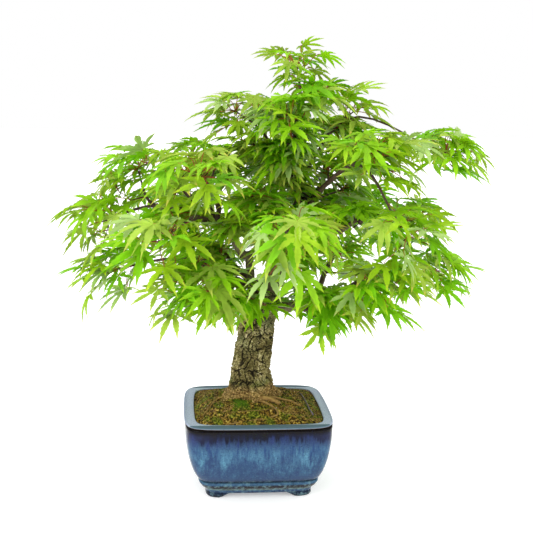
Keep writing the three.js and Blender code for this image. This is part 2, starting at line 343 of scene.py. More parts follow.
class Wiring:
    """Adds nodes to a tree and joins them by their sockets."""

    def __init__(self, tree: bpy.types.NodeTree) -> None:
        """Starts on a node tree."""
        self.tree = tree

    def add(self, kind: str, values: dict | None = None, **settings: object) -> bpy.types.Node:
        """Adds a node.

        Args:
            kind: its type.
            values: for each input, by name or number, a value or the output socket that feeds it.
            settings: its own properties.

        Returns:
            The new node.
        """
        node = self.tree.nodes.new(kind)
        for key, setting in settings.items():
            setattr(node, key, setting)
        for key, value in (values or {}).items():
            if isinstance(value, Socket):
                self.tree.links.new(value, node.inputs[key])
            else:
                node.inputs[key].default_value = value
        return node

    def math(self, operation: str, *values: object) -> Socket:
        """The result of an arithmetic node on numbers or sockets."""
        return self.add("ShaderNodeMath", dict(enumerate(values)), operation=operation).outputs[0]

    def mix(self, share: object, first: object, second: object, blend: str = "MIX") -> Socket:
        """Two colours mixed, as a colour socket."""
        values = {0: share, 6: first, 7: second}
        return self.add("ShaderNodeMix", values, data_type="RGBA", blend_type=blend).outputs[2]

    def times(self, first: object, second: object) -> Socket:
        """One value times another."""
        return self.math("MULTIPLY", first, second)

    def between(self, value: object, low: float, high: float) -> Socket:
        """A value as a share of the way from low to high, held between 0 and 1."""
        return self.add("ShaderNodeMapRange", {0: value, 1: low, 2: high}).outputs[0]

    def ramp(self, share: object, stops: tuple[tuple[float, Colour], ...]) -> Socket:
        """A colour from a share, by display colours at stops from 0 to 1.

        Args:
            share: a value from 0 to 1.
            stops: places with their colours.

        Returns:
            The colour.
        """
        node = self.add("ShaderNodeValToRGB", {0: share})
        elements = node.color_ramp.elements
        for _ in stops[2:]:
            elements.new(0.5)
        for element, (place, colour) in zip(elements, stops):
            element.position = place
            element.color = linear(colour)
        return node.outputs[0]

    def noise(self, vector: object, size: float, detail: float = 4.0) -> Socket:
        """A noise value of blotches about size metres across."""
        values = {"Vector": vector, "Scale": 0.5 / size, "Detail": detail, "Roughness": 0.6}
        return self.add("ShaderNodeTexNoise", values).outputs["Fac"]

    def stretched(self, vector: object, scale: tuple[float, float, float]) -> Socket:
        """Coordinates scaled along each axis, so that a pattern on them is drawn out."""
        return self.add("ShaderNodeMapping", {"Vector": vector, "Scale": scale}).outputs[0]

    def bump(self, height: object, distance: float, strength: float = 1.0) -> Socket:
        """A normal for a relief of that depth in metres."""
        values = {"Height": height, "Distance": distance, "Strength": strength}
        return self.add("ShaderNodeBump", values).outputs[0]

    def relief(self) -> Socket:
        """How high a point stands in its surface's relief, from 0 in a crack to 1 on a plate."""
        return self.add("ShaderNodeAttribute", attribute_name="relief").outputs["Fac"]

    def object_place(self) -> Socket:
        """The place of a point on the piece, in metres."""
        return self.add("ShaderNodeTexCoord").outputs["Object"]


def weathering_group() -> bpy.types.NodeTree:
    """The shared group that all natural surfaces and the glaze take their unevenness from.

    Its inputs are a place and the scale of the blotches, which is half of 1 over their size in metres.
    It puts out a broad blotch value and a fine grain value, both from 0 to 1.

    Returns:
        The group, the same one each time.
    """
    name = "weathering"
    if name in bpy.data.node_groups:
        return bpy.data.node_groups[name]
    group = bpy.data.node_groups.new(name, "ShaderNodeTree")
    group.interface.new_socket("Place", in_out="INPUT", socket_type="NodeSocketVector")
    group.interface.new_socket("Scale", in_out="INPUT", socket_type="NodeSocketFloat")
    group.interface.new_socket("Blotches", in_out="OUTPUT", socket_type="NodeSocketFloat")
    group.interface.new_socket("Grain", in_out="OUTPUT", socket_type="NodeSocketFloat")
    wiring = Wiring(group)
    given = wiring.add("NodeGroupInput")
    place, scale = given.outputs["Place"], given.outputs["Scale"]
    broad = {"Vector": place, "Scale": scale, "Detail": 3.0, "Distortion": 0.4}
    fine = {"Vector": place, "Scale": wiring.math("MULTIPLY", scale, 7.0), "Detail": 5.0}
    blotches = wiring.add("ShaderNodeTexNoise", broad).outputs["Fac"]
    grain = wiring.add("ShaderNodeTexNoise", fine).outputs["Fac"]
    wiring.add(
        "NodeGroupOutput",
        {
            "Blotches": wiring.between(blotches, 0.3, 0.7),
            "Grain": wiring.between(grain, 0.28, 0.72),
        },
    )
    return group


class Finish:
    """What every finish shares: a new material, its wiring, and the group of weathering values."""

    name: str

    def start(self) -> tuple[Material, Wiring]:
        """A new empty material of this finish's name, and the wiring of its tree.

        Returns:
            The material and its wiring.
        """
        material = bpy.data.materials.new(self.name)
        material.use_nodes = True
        material.node_tree.nodes.clear()
        return material, Wiring(material.node_tree)

    def weathering(self, wiring: Wiring, place: Socket, size: float) -> tuple[Socket, Socket]:
        """Blotches about size metres across, and grain a seventh of that.

        Args:
            wiring: the material's.
            place: coordinates in metres.
            size: of a blotch.

        Returns:
            The blotches and the grain.
        """
        node = wiring.add("ShaderNodeGroup", node_tree=weathering_group())
        wiring.tree.links.new(place, node.inputs["Place"])
        node.inputs["Scale"].default_value = 0.5 / size
        return node.outputs["Blotches"], node.outputs["Grain"]

    def surface(self, wiring: Wiring, values: dict) -> None:
        """Ends the material with a Principled shader that takes these inputs."""
        shader = wiring.add("ShaderNodeBsdfPrincipled", values)
        wiring.add("ShaderNodeOutputMaterial", {"Surface": shader.outputs[0]})


@dataclass(frozen=True)
class GlazeFinish(Finish):
    """A runny blue glaze: dark navy under the rim with near-black painted shade just under the lip,
    light drips below it, and dark bands in the grooves of the foot's band.

    The foot is mottled, washed pale in places and worn dark in others, and the rim is speckled, its top
    pale with a painted reflection of the bright surround over the glaze's blue.
    """

    centre: tuple[float, float]
    height: float
    half_width: float
    half_depth: float
    name: str = "drip_glaze"
    drip: Colour = (0.35, 0.55, 0.64)
    violet: Colour = (0.20, 0.23, 0.40)
    speck: Colour = (0.40, 0.58, 0.64)
    washed: Colour = (0.46, 0.60, 0.62)
    worn: Colour = (0.09, 0.09, 0.10)
    pit: Colour = (0.08, 0.11, 0.20)
    long_rim: Colour = (0.33, 0.42, 0.48)  # of the rim's front and back
    # The pale line is a painted highlight on the rounded inner edge of the rim's front and back.
    painted_highlight: Colour = (0.66, 0.75, 0.80)  # along their inner edge
    rim_speckle: Colour = (0.30, 0.37, 0.48)
    pushes: tuple[float, float, float] = (0.16, 0.34, 0.22)  # of fine streaks, wide streaks and clumps
    rim_from: float = 0.985  # of the height
    rim_inner: float = 12 * MM  # how far in the inner line lies
    roughness: float = 0.13
    rim_roughness: float = 0.22  # how much rougher the rim is
    stops: tuple[tuple[float, Colour], ...] = (
        (0.0, (0.08, 0.07, 0.07)), (0.055, (0.11, 0.16, 0.25)), (0.10, (0.17, 0.29, 0.43)),
        (0.118, (0.40, 0.47, 0.45)), (0.135, (0.28, 0.32, 0.32)), (0.155, (0.10, 0.08, 0.07)),
        (0.18, (0.12, 0.09, 0.09)), (0.205, (0.20, 0.33, 0.45)), (0.22, (0.29, 0.43, 0.54)),
        (0.232, (0.08, 0.08, 0.10)), (0.245, (0.13, 0.15, 0.22)), (0.29, (0.18, 0.27, 0.40)),
        (0.52, (0.16, 0.25, 0.40)), (0.68, (0.15, 0.25, 0.42)), (0.78, (0.12, 0.17, 0.35)),
        # From 0.92, and darkest from 0.945 to 0.968, the near-black brown is painted shade under the
        # overhanging lip, over the glaze's own dark navy.
        (0.86, (0.04, 0.055, 0.15)), (0.92, (0.035, 0.035, 0.08)), (0.945, (0.05, 0.035, 0.04)),
        (0.968, (0.07, 0.05, 0.04)), (0.975, (0.24, 0.18, 0.13)), (0.980, (0.62, 0.55, 0.46)),
        # From 0.991 the rim's top is pale grey-blue: the glaze's blue with a painted reflection of the
        # bright surround.
        (0.985, (0.38, 0.40, 0.44)), (0.991, (0.66, 0.70, 0.80)), (1.0, (0.69, 0.73, 0.83)),
    )

    def material(self) -> Material:
        """Builds the glaze.

        A ramp gives the colour at each height, with painted shade under the lip and a painted reflection
        on the rim's top. Fine and coarse upright streaks push it up and down on the belly. Light veils
        gather in the drips, violet shows at the corners, and specks lie over them. Then come the washed
        and worn mottle near the foot, pits over all, and the rim, with a painted highlight along the
        inner edge of its front and back.

        Returns:
            The new material.
        """
        material, w = self.start()
        place = w.object_place()
        axes = w.add("ShaderNodeSeparateXYZ", {0: place})
        up = w.math("DIVIDE", axes.outputs[2], self.height)
        fine = w.noise(w.stretched(place, (1.0, 1.0, 0.12)), 1.5 * MM, 2.0)
        streaks = w.noise(w.stretched(place, (1.0, 1.0, 0.2)), 4.5 * MM, 3.0)
        clumps = w.noise(w.stretched(place, (1.0, 1.0, 0.6)), 11.0 * MM, 2.0)
        specks = w.noise(place, 0.8 * MM, 2.0)
        blotches, grain = self.weathering(w, place, 9.0 * MM)
        on_belly = w.times(w.between(up, 0.27, 0.4), w.between(up, 0.95, 0.88))
        push = 0.0
        for pattern, strength in zip((fine, streaks, clumps), self.pushes):
            push = w.math("ADD", push, w.times(w.math("SUBTRACT", pattern, 0.5), strength))
        pushed = w.math("ADD", up, w.times(push, on_belly))
        colour = w.ramp(pushed, self.stops)
        runs = w.math("ADD", w.times(streaks, 0.6), w.times(fine, 0.4))
        veil = w.times(w.between(runs, 0.40, 0.64), w.between(clumps, 0.18, 0.60))
        veil = w.times(veil, w.between(pushed, 0.86, 0.72))
        veil = w.times(veil, w.between(pushed, 0.30, 0.60))
        veil = w.times(veil, w.math("ADD", 0.55, w.times(grain, 0.45)))
        colour = w.mix(veil, colour, linear(self.drip))
        across = w.math("ABSOLUTE", w.math("SUBTRACT", axes.outputs[0], self.centre[0]))
        corner = w.times(w.between(across, 45 * MM, 90 * MM), w.between(up, 0.965, 0.94))
        violet = w.times(w.between(up, 0.72, 0.86), corner)
        violet = w.math("ADD", violet, w.times(w.between(blotches, 0.55, 0.95), 0.5))
        violet = w.times(violet, w.times(w.between(up, 0.93, 0.88), 0.34))
        colour = w.mix(violet, colour, linear(self.violet))
        dots = w.times(w.between(specks, 0.60, 0.76), w.between(up, 0.92, 0.5))
        colour = w.mix(w.times(dots, 0.4), colour, linear(self.speck))
        mottle = w.noise(place, 2.5 * MM, 3.0)
        washed = w.times(w.between(mottle, 0.50, 0.70), w.between(up, 0.29, 0.23))
        colour = w.mix(w.times(washed, 0.6), colour, linear(self.washed))
        worn = w.times(w.between(mottle, 0.46, 0.34), w.between(up, 0.25, 0.20))
        colour = w.mix(w.times(worn, 0.6), colour, linear(self.worn))
        pits = w.times(w.between(specks, 0.42, 0.30), 0.6)
        colour = w.mix(pits, colour, linear(self.pit))
        outward = w.math("ABSOLUTE", w.math("SUBTRACT", axes.outputs[1], self.centre[1]))
        inner = self.half_depth - self.rim_inner
        long_side = w.between(outward, inner - 3 * MM, inner)
        # A painted highlight along the inner edge of the rim's front and back.
        line = w.between(outward, inner - 0.2 * MM, inner - 1.2 * MM)
        on_rim = w.between(up, self.rim_from, self.rim_from + 0.007)
        long_rim = w.mix(line, linear(self.long_rim), linear(self.painted_highlight))
        colour = w.mix(w.times(long_side, on_rim), colour, long_rim)
        edge = w.between(across, self.half_width - 6 * MM, self.half_width - 1 * MM)
        speckles = w.times(w.between(specks, 0.5, 0.36), 0.3)
        speckled = w.math("ADD", speckles, w.times(edge, 0.35))
        colour = w.mix(w.times(speckled, on_rim), colour, linear(self.rim_speckle))
        self.surface(
            w,
            {
                "Base Color": colour,
                "Roughness": w.math("ADD", self.roughness, w.times(on_rim, self.rim_roughness)),
                "Normal": w.bump(w.math("ADD", streaks, grain), 0.15 * MM, 0.6),
                "Specular IOR Level": 0.15,
            },
        )
        return material


@dataclass(frozen=True)
class BarkFinish(Finish):
    """Plated bark: pale plates, dark cracks of painted shade over the bark's own darker colour, lichen
    above, moss near the soil, and brown roots.
    """

    soil_level: float
    name: str = "plated_bark"
    lichen: Colour = (0.44, 0.49, 0.38)
    moss: Colour = (0.31, 0.37, 0.06)
    crack: Colour = (0.09, 0.065, 0.03)
    stops: tuple[tuple[float, Colour], ...] = (
        (0.12, (0.20, 0.17, 0.08)),
        (0.38, (0.40, 0.36, 0.20)),
        (0.60, (0.62, 0.57, 0.37)),
        (0.86, (0.88, 0.83, 0.64)),
    )
    root_stops: tuple[tuple[float, Colour], ...] = (
        (0.1, (0.30, 0.21, 0.11)),
        (0.5, (0.60, 0.47, 0.26)),
        (0.9, (0.84, 0.70, 0.44)),
    )

    def material(self) -> Material:
        """The relief darkens the cracks as painted shade, over the bark's own darker colour, less so on
        the fibrous roots.

        Returns:
            The new material.
        """
        material, w = self.start()
        place = w.object_place()
        relief = w.relief()
        height = w.add("ShaderNodeSeparateXYZ", {0: place}).outputs[2]
        above = w.math("SUBTRACT", height, self.soil_level)
        blotches, grain = self.weathering(w, place, 8.0 * MM)
        patches = w.noise(w.stretched(place, (1.0, 1.0, 0.7)), 17 * MM, 2.0)
        blend = w.math("ADD", w.times(blotches, 0.45), w.times(grain, 0.55))
        colour = w.ramp(blend, self.stops)
        lichen = w.times(w.between(patches, 0.50, 0.68), w.between(above, 55 * MM, 85 * MM))
        colour = w.mix(w.times(lichen, 0.4), colour, linear(self.lichen))
        moss = w.times(w.between(above, 30 * MM, 20 * MM), w.between(blotches, 0.3, 0.7))
        moss = w.times(moss, w.between(above, 11 * MM, 18 * MM))
        colour = w.mix(w.times(moss, 0.7), colour, linear(self.moss))
        rooty = w.between(w.math("ADD", above, w.times(patches, 14 * MM)), 27 * MM, 17 * MM)
        colour = w.mix(w.times(rooty, 0.9), colour, w.ramp(grain, self.root_stops))
        # Painted shade: where the relief is low, in the cracks and the burr's hollow, the colour goes
        # most of the way to the crack colour, over the bark's own darker colour there.
        plates = w.math("MAXIMUM", w.between(relief, 0.2, 0.7), w.times(rooty, 0.6))
        shade = w.mix(0.9, colour, linear(self.crack))
        colour = w.mix(plates, shade, colour)
        self.surface(
            w,
            {
                "Base Color": colour,
                "Roughness": w.math("ADD", 0.78, w.times(grain, 0.15)),
                "Normal": w.bump(grain, 1.4 * MM, 0.9),
                "Specular IOR Level": 0.2,
            },
        )
        return material


@dataclass(frozen=True)
class WoodFinish(Finish):
    """The bark of a bough, twig or leaf stalk: one colour that another one blotches."""

    name: str
    colour: Colour
    blotch: Colour
    size: float  # of a blotch
    roughness: float
    grain: Colour = (0.2, 0.17, 0.12)  # multiplied on, a quarter of the way at the most

    def material(self) -> Material:
        """Builds the bark: blotches of the second colour, darkened by fine grain.

        Returns:
            The new material.
        """
        material, w = self.start()
        blotches, grain = self.weathering(w, w.object_place(), self.size)
        colour = w.mix(blotches, linear(self.colour), linear(self.blotch))
        grainy = w.times(grain, 0.25)
        values = {
            "Base Color": w.mix(grainy, colour, linear(self.grain), "MULTIPLY"),
            "Roughness": self.roughness,
            "Normal": w.bump(grain, 0.2 * MM, 0.6),
            "Specular IOR Level": 0.3,
        }
        self.surface(w, values)
        return material


@dataclass(frozen=True)
class SoilFinish(Finish):
    """Damp brown grit and fibre, with moss that is greenest in a patch before the trunk."""

    patch: tuple[float, float, float]
    name: str = "mossy_soil"
    green: tuple[Colour, Colour] = ((0.20, 0.32, 0.02), (0.36, 0.49, 0.06))  # of the patch
    stops: tuple[tuple[float, Colour], ...] = (
        (0.0, (0.07, 0.05, 0.015)),
        (0.3, (0.23, 0.17, 0.04)),
        (0.55, (0.43, 0.32, 0.09)),
        (0.8, (0.62, 0.50, 0.20)),
        (1.0, (0.82, 0.71, 0.38)),
    )
    moss_stops: tuple[tuple[float, Colour], ...] = (
        (0.0, (0.12, 0.15, 0.01)),
        (0.5, (0.33, 0.38, 0.05)),
        (1.0, (0.52, 0.57, 0.16)),
    )

    def material(self) -> Material:
        """Builds the soil: crumbs, moss where the broad blotches are high, and the green patch.

        Returns:
            The new material.
        """
        material, w = self.start()
        place = w.object_place()
        blotches, grain = self.weathering(w, place, 8.0 * MM)
        crumbs = w.noise(place, 1.4 * MM, 3.0)
        crumbly = w.between(crumbs, 0.36, 0.66)
        colour, mossy = w.ramp(crumbly, self.stops), w.ramp(crumbly, self.moss_stops)
        colour = w.mix(w.times(w.between(blotches, 0.38, 0.72), 0.85), colour, mossy)
        apart = w.add("ShaderNodeVectorMath", {0: place, 1: self.patch}, operation="DISTANCE")
        away = w.math("ADD", apart.outputs["Value"], w.times(grain, 9 * MM))
        patch = w.between(away, 19 * MM, 11 * MM)
        green = w.mix(grain, *[linear(shade) for shade in self.green])
        colour = w.mix(w.times(patch, 0.9), colour, green)
        self.surface(
            w,
            {
                "Base Color": colour,
                "Roughness": 0.92,
                "Normal": w.bump(w.math("ADD", crumbs, grain), 1.0 * MM, 0.9),
                "Specular IOR Level": 0.2,
            },
        )
        return material


@dataclass(frozen=True)
class LeafFinish(Finish):
    """A leaf's skin: one green with soft cloudy changes and a satin sheen, that lets light through."""

    name: str
    colour: Colour
    roughness: float = 0.42
    translucency: float = 0.22
    lighter: tuple[float, float] = (1.10, 0.015)  # what the colour is multiplied by, and what is added
    darker: float = 0.86
    cloud: float = 16.0 * MM  # how large a cloudy change is

    def material(self) -> Material:
        """Builds the leaf. Its colour moves a little way lighter and darker across the crown.

        Returns:
            The new material.
        """
        material, w = self.start()
        place = w.object_place()
        blotches, grain = self.weathering(w, place, self.cloud)
        times, added = self.lighter
        lighter = linear(tuple(min(1.0, channel * times + added) for channel in self.colour))
        darker = linear(tuple(channel * self.darker for channel in self.colour))
        colour = w.mix(blotches, darker, lighter)
        values = {
            "Base Color": colour,
            "Roughness": w.math("ADD", self.roughness, w.times(grain, 0.12)),
            "Specular IOR Level": 0.25,
        }
        skin = w.add("ShaderNodeBsdfPrincipled", values)
        through = w.add("ShaderNodeBsdfTranslucent", {"Color": colour})
        shaders = {0: self.translucency, 1: skin.outputs[0], 2: through.outputs[0]}
        mixed = w.add("ShaderNodeMixShader", shaders)
        w.add("ShaderNodeOutputMaterial", {"Surface": mixed.outputs[0]})
        return material


@dataclass(frozen=True)
class GritFinish(Finish):
    """Small stones of one colour, slightly uneven."""

    name: str
    colour: Colour

    def material(self) -> Material:
        """Builds the stone.

        Returns:
            The new material.
        """
        material, w = self.start()
        blotches, grain = self.weathering(w, w.object_place(), 2.0 * MM)
        shade = linear(tuple(channel * 0.72 for channel in self.colour))
        values = {
            "Base Color": w.mix(blotches, shade, linear(self.colour)),
            "Roughness": 0.8,
            "Normal": w.bump(grain, 0.2 * MM, 0.5),
        }
        self.surface(w, values)
        return material


@dataclass(frozen=True)
class FloorFinish(Finish):
    """A pale matt floor with a faint glow of its own."""

    name: str = "pale_floor"
    colour: Colour = (0.93, 0.93, 0.93)
    glow: float = 0.35

    def material(self) -> Material:
        """Builds the floor's one even shade.

        Returns:
            The new material.
        """
        material, w = self.start()
        values = {
            "Base Color": linear(self.colour),
            "Roughness": 0.9,
            "Emission Color": linear((1.0, 1.0, 1.0)),
            "Emission Strength": self.glow,
        }
        self.surface(w, values)
        return material


# The pot


@dataclass
class Pot:
    """The glazed pot: bellied sides, a flat rim, a moulded band and a foot cut into four by arches."""

    half_width: float
    half_depth: float
    height: float
    centre: tuple[float, float]
    corner: float = 10.0  # exponent of the outline's rounded corners
    bulge: float = 0.029  # how much further out the middle of a side is than its ends
    fuller_right: float = 0.15  # how much less the right side curves in, as thrown by hand
    wider_right: float = 0.7 * MM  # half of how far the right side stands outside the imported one
    columns: int = 320
    rim_corner: float = 8.0  # the same exponent, for the rounder corners of the rim
    wall: float = 9 * MM
    rim_width: float = 14 * MM
    floor: float = 19 * MM
    drain: float = 9 * MM  # radius
    belly_foot: float = 20 * MM  # the height where the belly has curved in furthest
    belly_inset: float = 30 * MM  # how far it has curved in there
    foot_inset: float = 28 * MM
    foot_width: float = 13 * MM
    foot_height: float = 7 * MM
    foot_length: float = 27 * MM
    arch_end: tuple[float, float] = (-10 * MM, 9 * MM)  # where an arch springs and levels, from its foot
    band: tuple[tuple[float, float], ...] = (  # the foot and band: mm up, and mm in from the foot's wall
        (9.5, -0.4), (11.6, -1.5), (13.4, -2.3), (14.2, -2.6), (14.9, -3.2), (15.4, -5.2),
        (17.2, -6.6), (19.4, -7.6), (21.2, -9.0), (23.2, -9.2), (24.4, -7.8), (25.2, -5.2),
    )
    flat_rim: tuple[float, ...] = (3.5, 6.0, 9.0)  # mm in

    @classmethod
    def from_frame(cls) -> "Pot":
        """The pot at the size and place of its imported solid.

        Returns:
            The pot, not yet built.
        """
        low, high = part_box("pot")
        middle, size = (low + high) / 2, high - low
        return cls(
            size.x / 2 + cls.wider_right, size.y / 2, size.z, (middle.x + cls.wider_right, middle.y)
        )

    def outline(self, inset: Array, angles: Array, corner: Array | None = None) -> Array:
        """Points of the pot's outline, moved in from its rim.

        The outline is a rounded rectangle, a superellipse, whose sides bow out a little.

        Args:
            inset: how far in, which spreads against angles.
            angles: the superellipse's own angle.
            corner: its exponent, where that is not the usual one.

        Returns:
            x and y last.
        """
        power = 2.0 / (self.corner if corner is None else corner)
        u = np.sign(np.cos(angles)) * np.abs(np.cos(angles)) ** power
        v = np.sign(np.sin(angles)) * np.abs(np.sin(angles)) ** power
        fuller = 1 - self.fuller_right * np.clip(u, 0.0, 1.0)
        x = (self.half_width - inset * fuller) * u * (1 - self.bulge * v * v)
        y = (self.half_depth - inset) * v * (1 - self.bulge * u * u)
        return np.stack(np.broadcast_arrays(x + self.centre[0], y + self.centre[1]), -1)

    def even_angles(self) -> Array:
        """Angles that space the outline's points evenly along its length.

        Returns:
            One angle for each column.
        """
        dense = np.linspace(0.0, math.tau, 20001)
        x, y = np.moveaxis(self.outline(0.0, dense), -1, 0)
        travelled = np.concatenate([[0.0], np.cumsum(np.hypot(np.diff(x), np.diff(y)))])
        places = np.arange(self.columns) * travelled[-1] / self.columns
        return np.interp(places, travelled, dense)

    def belly(self, height: Array) -> Array:
        """How far the belly has curved in at a height: a quarter of an ellipse."""
        down = np.clip((self.height - height) / (self.height - self.belly_foot), 0.0, 1.0)
        return self.belly_inset * (1 - np.sqrt(1 - down * down))

    def profile(self) -> Array:
        """The pot's section, from its underside up, over the rim and down inside.

        Returns:
            Rows of height, inset and the exponent of the outline's corners.
        """
        top, foot, inner = self.height, self.foot_inset, self.rim_width
        heights = np.linspace(26.5 * MM, top - 4.6 * MM, 34)
        ledge = 0.4 * MM * smooth_step(top - 30 * MM, top - 5 * MM, heights)
        belly = [(h, inset, self.corner) for h, inset in zip(heights, self.belly(heights) + ledge)]
        turn = np.linspace(0.0, math.pi / 2, 7)
        lip_out = [
            (
                top - 1.9 * MM * (1 - math.sin(t)),
                1.8 * MM * (1 - math.cos(t)) - 0.5 * MM,
                self.rim_corner,
            )
            for t in turn
        ]
        lip_in = [
            (top - 1.6 * MM * (1 - math.cos(t)), inner - 1.5 * MM * (1 - math.sin(t)), self.corner)
            for t in turn
        ]
        flat = [(top, inset * MM, self.rim_corner) for inset in self.flat_rim]
        outside = [
            (self.foot_height, foot + 5 * MM),
            (self.foot_height, foot + 1.2 * MM),
            (self.foot_height + 0.6 * MM, foot + 0.3 * MM),
        ]
        outside += [(up * MM, foot + inset * MM) for up, inset in self.band]
        under_lip = [
            (top - 3.9 * MM, 1.5 * MM, self.corner),
            (top - 3.1 * MM, 2.1 * MM, self.rim_corner),
            (top - 2.4 * MM, 1.2 * MM, self.rim_corner),
            (top - 2.1 * MM, 0.1 * MM, self.rim_corner),
        ]
        inside = [
            (top - 4 * MM, inner + 0.3 * MM),
            (top - 9 * MM, inner + 0.5 * MM),
            (top - 26 * MM, inner + 1.5 * MM),
            (40 * MM, float(self.belly(40 * MM)) + self.wall),
            (self.floor + 6 * MM, float(self.belly(self.floor + 6 * MM)) + self.wall),
            (self.floor, float(self.belly(self.floor)) + self.wall + 5 * MM),
        ]
        plain = [[(*row, self.corner) for row in rows] for rows in (outside, inside)]
        return np.array(plain[0] + belly + under_lip + lip_out + flat + lip_in + plain[1])

    def body(self) -> Surface:
        """The pot without its feet: the profile carried round the outline and through the drain hole.

        Returns:
            A closed surface.
        """
        angles = self.even_angles()
        profile = self.profile()
        spots = self.outline(profile[:, 1:2], angles[None], profile[:, 2:])
        heights = np.broadcast_to(profile[:, :1, None], (*spots.shape[:2], 1))
        rings = np.concatenate([spots, heights], -1)
        way = np.arctan2(*(rings[0, :, 1::-1] - np.array(self.centre)[::-1]).T)
        hole = np.stack(
            [self.centre[0] + self.drain * np.cos(way), self.centre[1] + self.drain * np.sin(way)], -1
        )
        top = np.concatenate([hole, np.full((len(hole), 1), self.floor)], -1)
        bottom = np.concatenate([hole, np.full((len(hole), 1), self.foot_height)], -1)
        rings = np.concatenate([rings, top[None], bottom[None], rings[:1]])
        rows = len(rings) - 1
        quads = grid_quads(rows + 1, self.columns, wrap=True) % (rows * self.columns)
        return Surface(rings[:-1].reshape(-1, 3), quads)

    def feet(self) -> Surface:
        """The foot: a ring whose lower edge rises in a smooth arch along each side.

        Its section is a closed loop, carried round the outline.

        Returns:
            A closed surface.
        """
        angles = self.even_angles()
        middle = self.outline(self.foot_inset, angles) - np.array(self.centre)
        half = np.array([self.half_width, self.half_depth]) - self.foot_inset - self.foot_length
        from_foot = -(np.abs(middle) - half).min(-1)
        lift = smooth_step(*self.arch_end, from_foot)
        sole = lift * (self.foot_height - 0.3 * MM)
        top = self.foot_height + 1.0 * MM
        loop = [
            (top, 1.0 * MM),
            (None, 0.6 * MM),
            (0.0, 1.8 * MM),
            (0.0, self.foot_width - 1.5 * MM),
            (None, self.foot_width),
            (top, self.foot_width),
        ]
        rings = []
        for level, inset in loop:
            spots = self.outline(self.foot_inset + inset, angles)
            if level is None:
                heights = np.minimum(sole + 1.6 * MM, self.foot_height)
            elif level == 0.0:
                heights = sole
            else:
                heights = np.full(len(angles), level)
            rings.append(np.concatenate([spots, heights[:, None]], -1))
        rows = len(rings)
        quads = grid_quads(rows + 1, self.columns, wrap=True) % (rows * self.columns)
        return Surface(np.stack(rings).reshape(-1, 3), quads[:, ::-1])

    def build(self) -> None:
        """Makes the pot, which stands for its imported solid."""
        glaze = GlazeFinish(self.centre, self.height, self.half_width, self.half_depth).material()
        pot = Surface.joined([self.body(), self.feet()]).piece("glazed_pot", glaze)
        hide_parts("pot")


# The soil


class Grit(Enum):
    """The kinds of small stone: colour, how many, and the least and greatest radius in mm."""

    TAN = ((0.62, 0.50, 0.28), 420, (0.5, 1.3))
    DARK = ((0.20, 0.16, 0.09), 420, (0.6, 1.5))
    OCHRE = ((0.72, 0.58, 0.22), 90, (0.7, 1.5))
    PALE = ((0.86, 0.82, 0.66), 34, (0.7, 1.3))
    RUST = ((0.66, 0.34, 0.14), 40, (0.6, 1.3))


Course = tuple[tuple[float, float], ...]


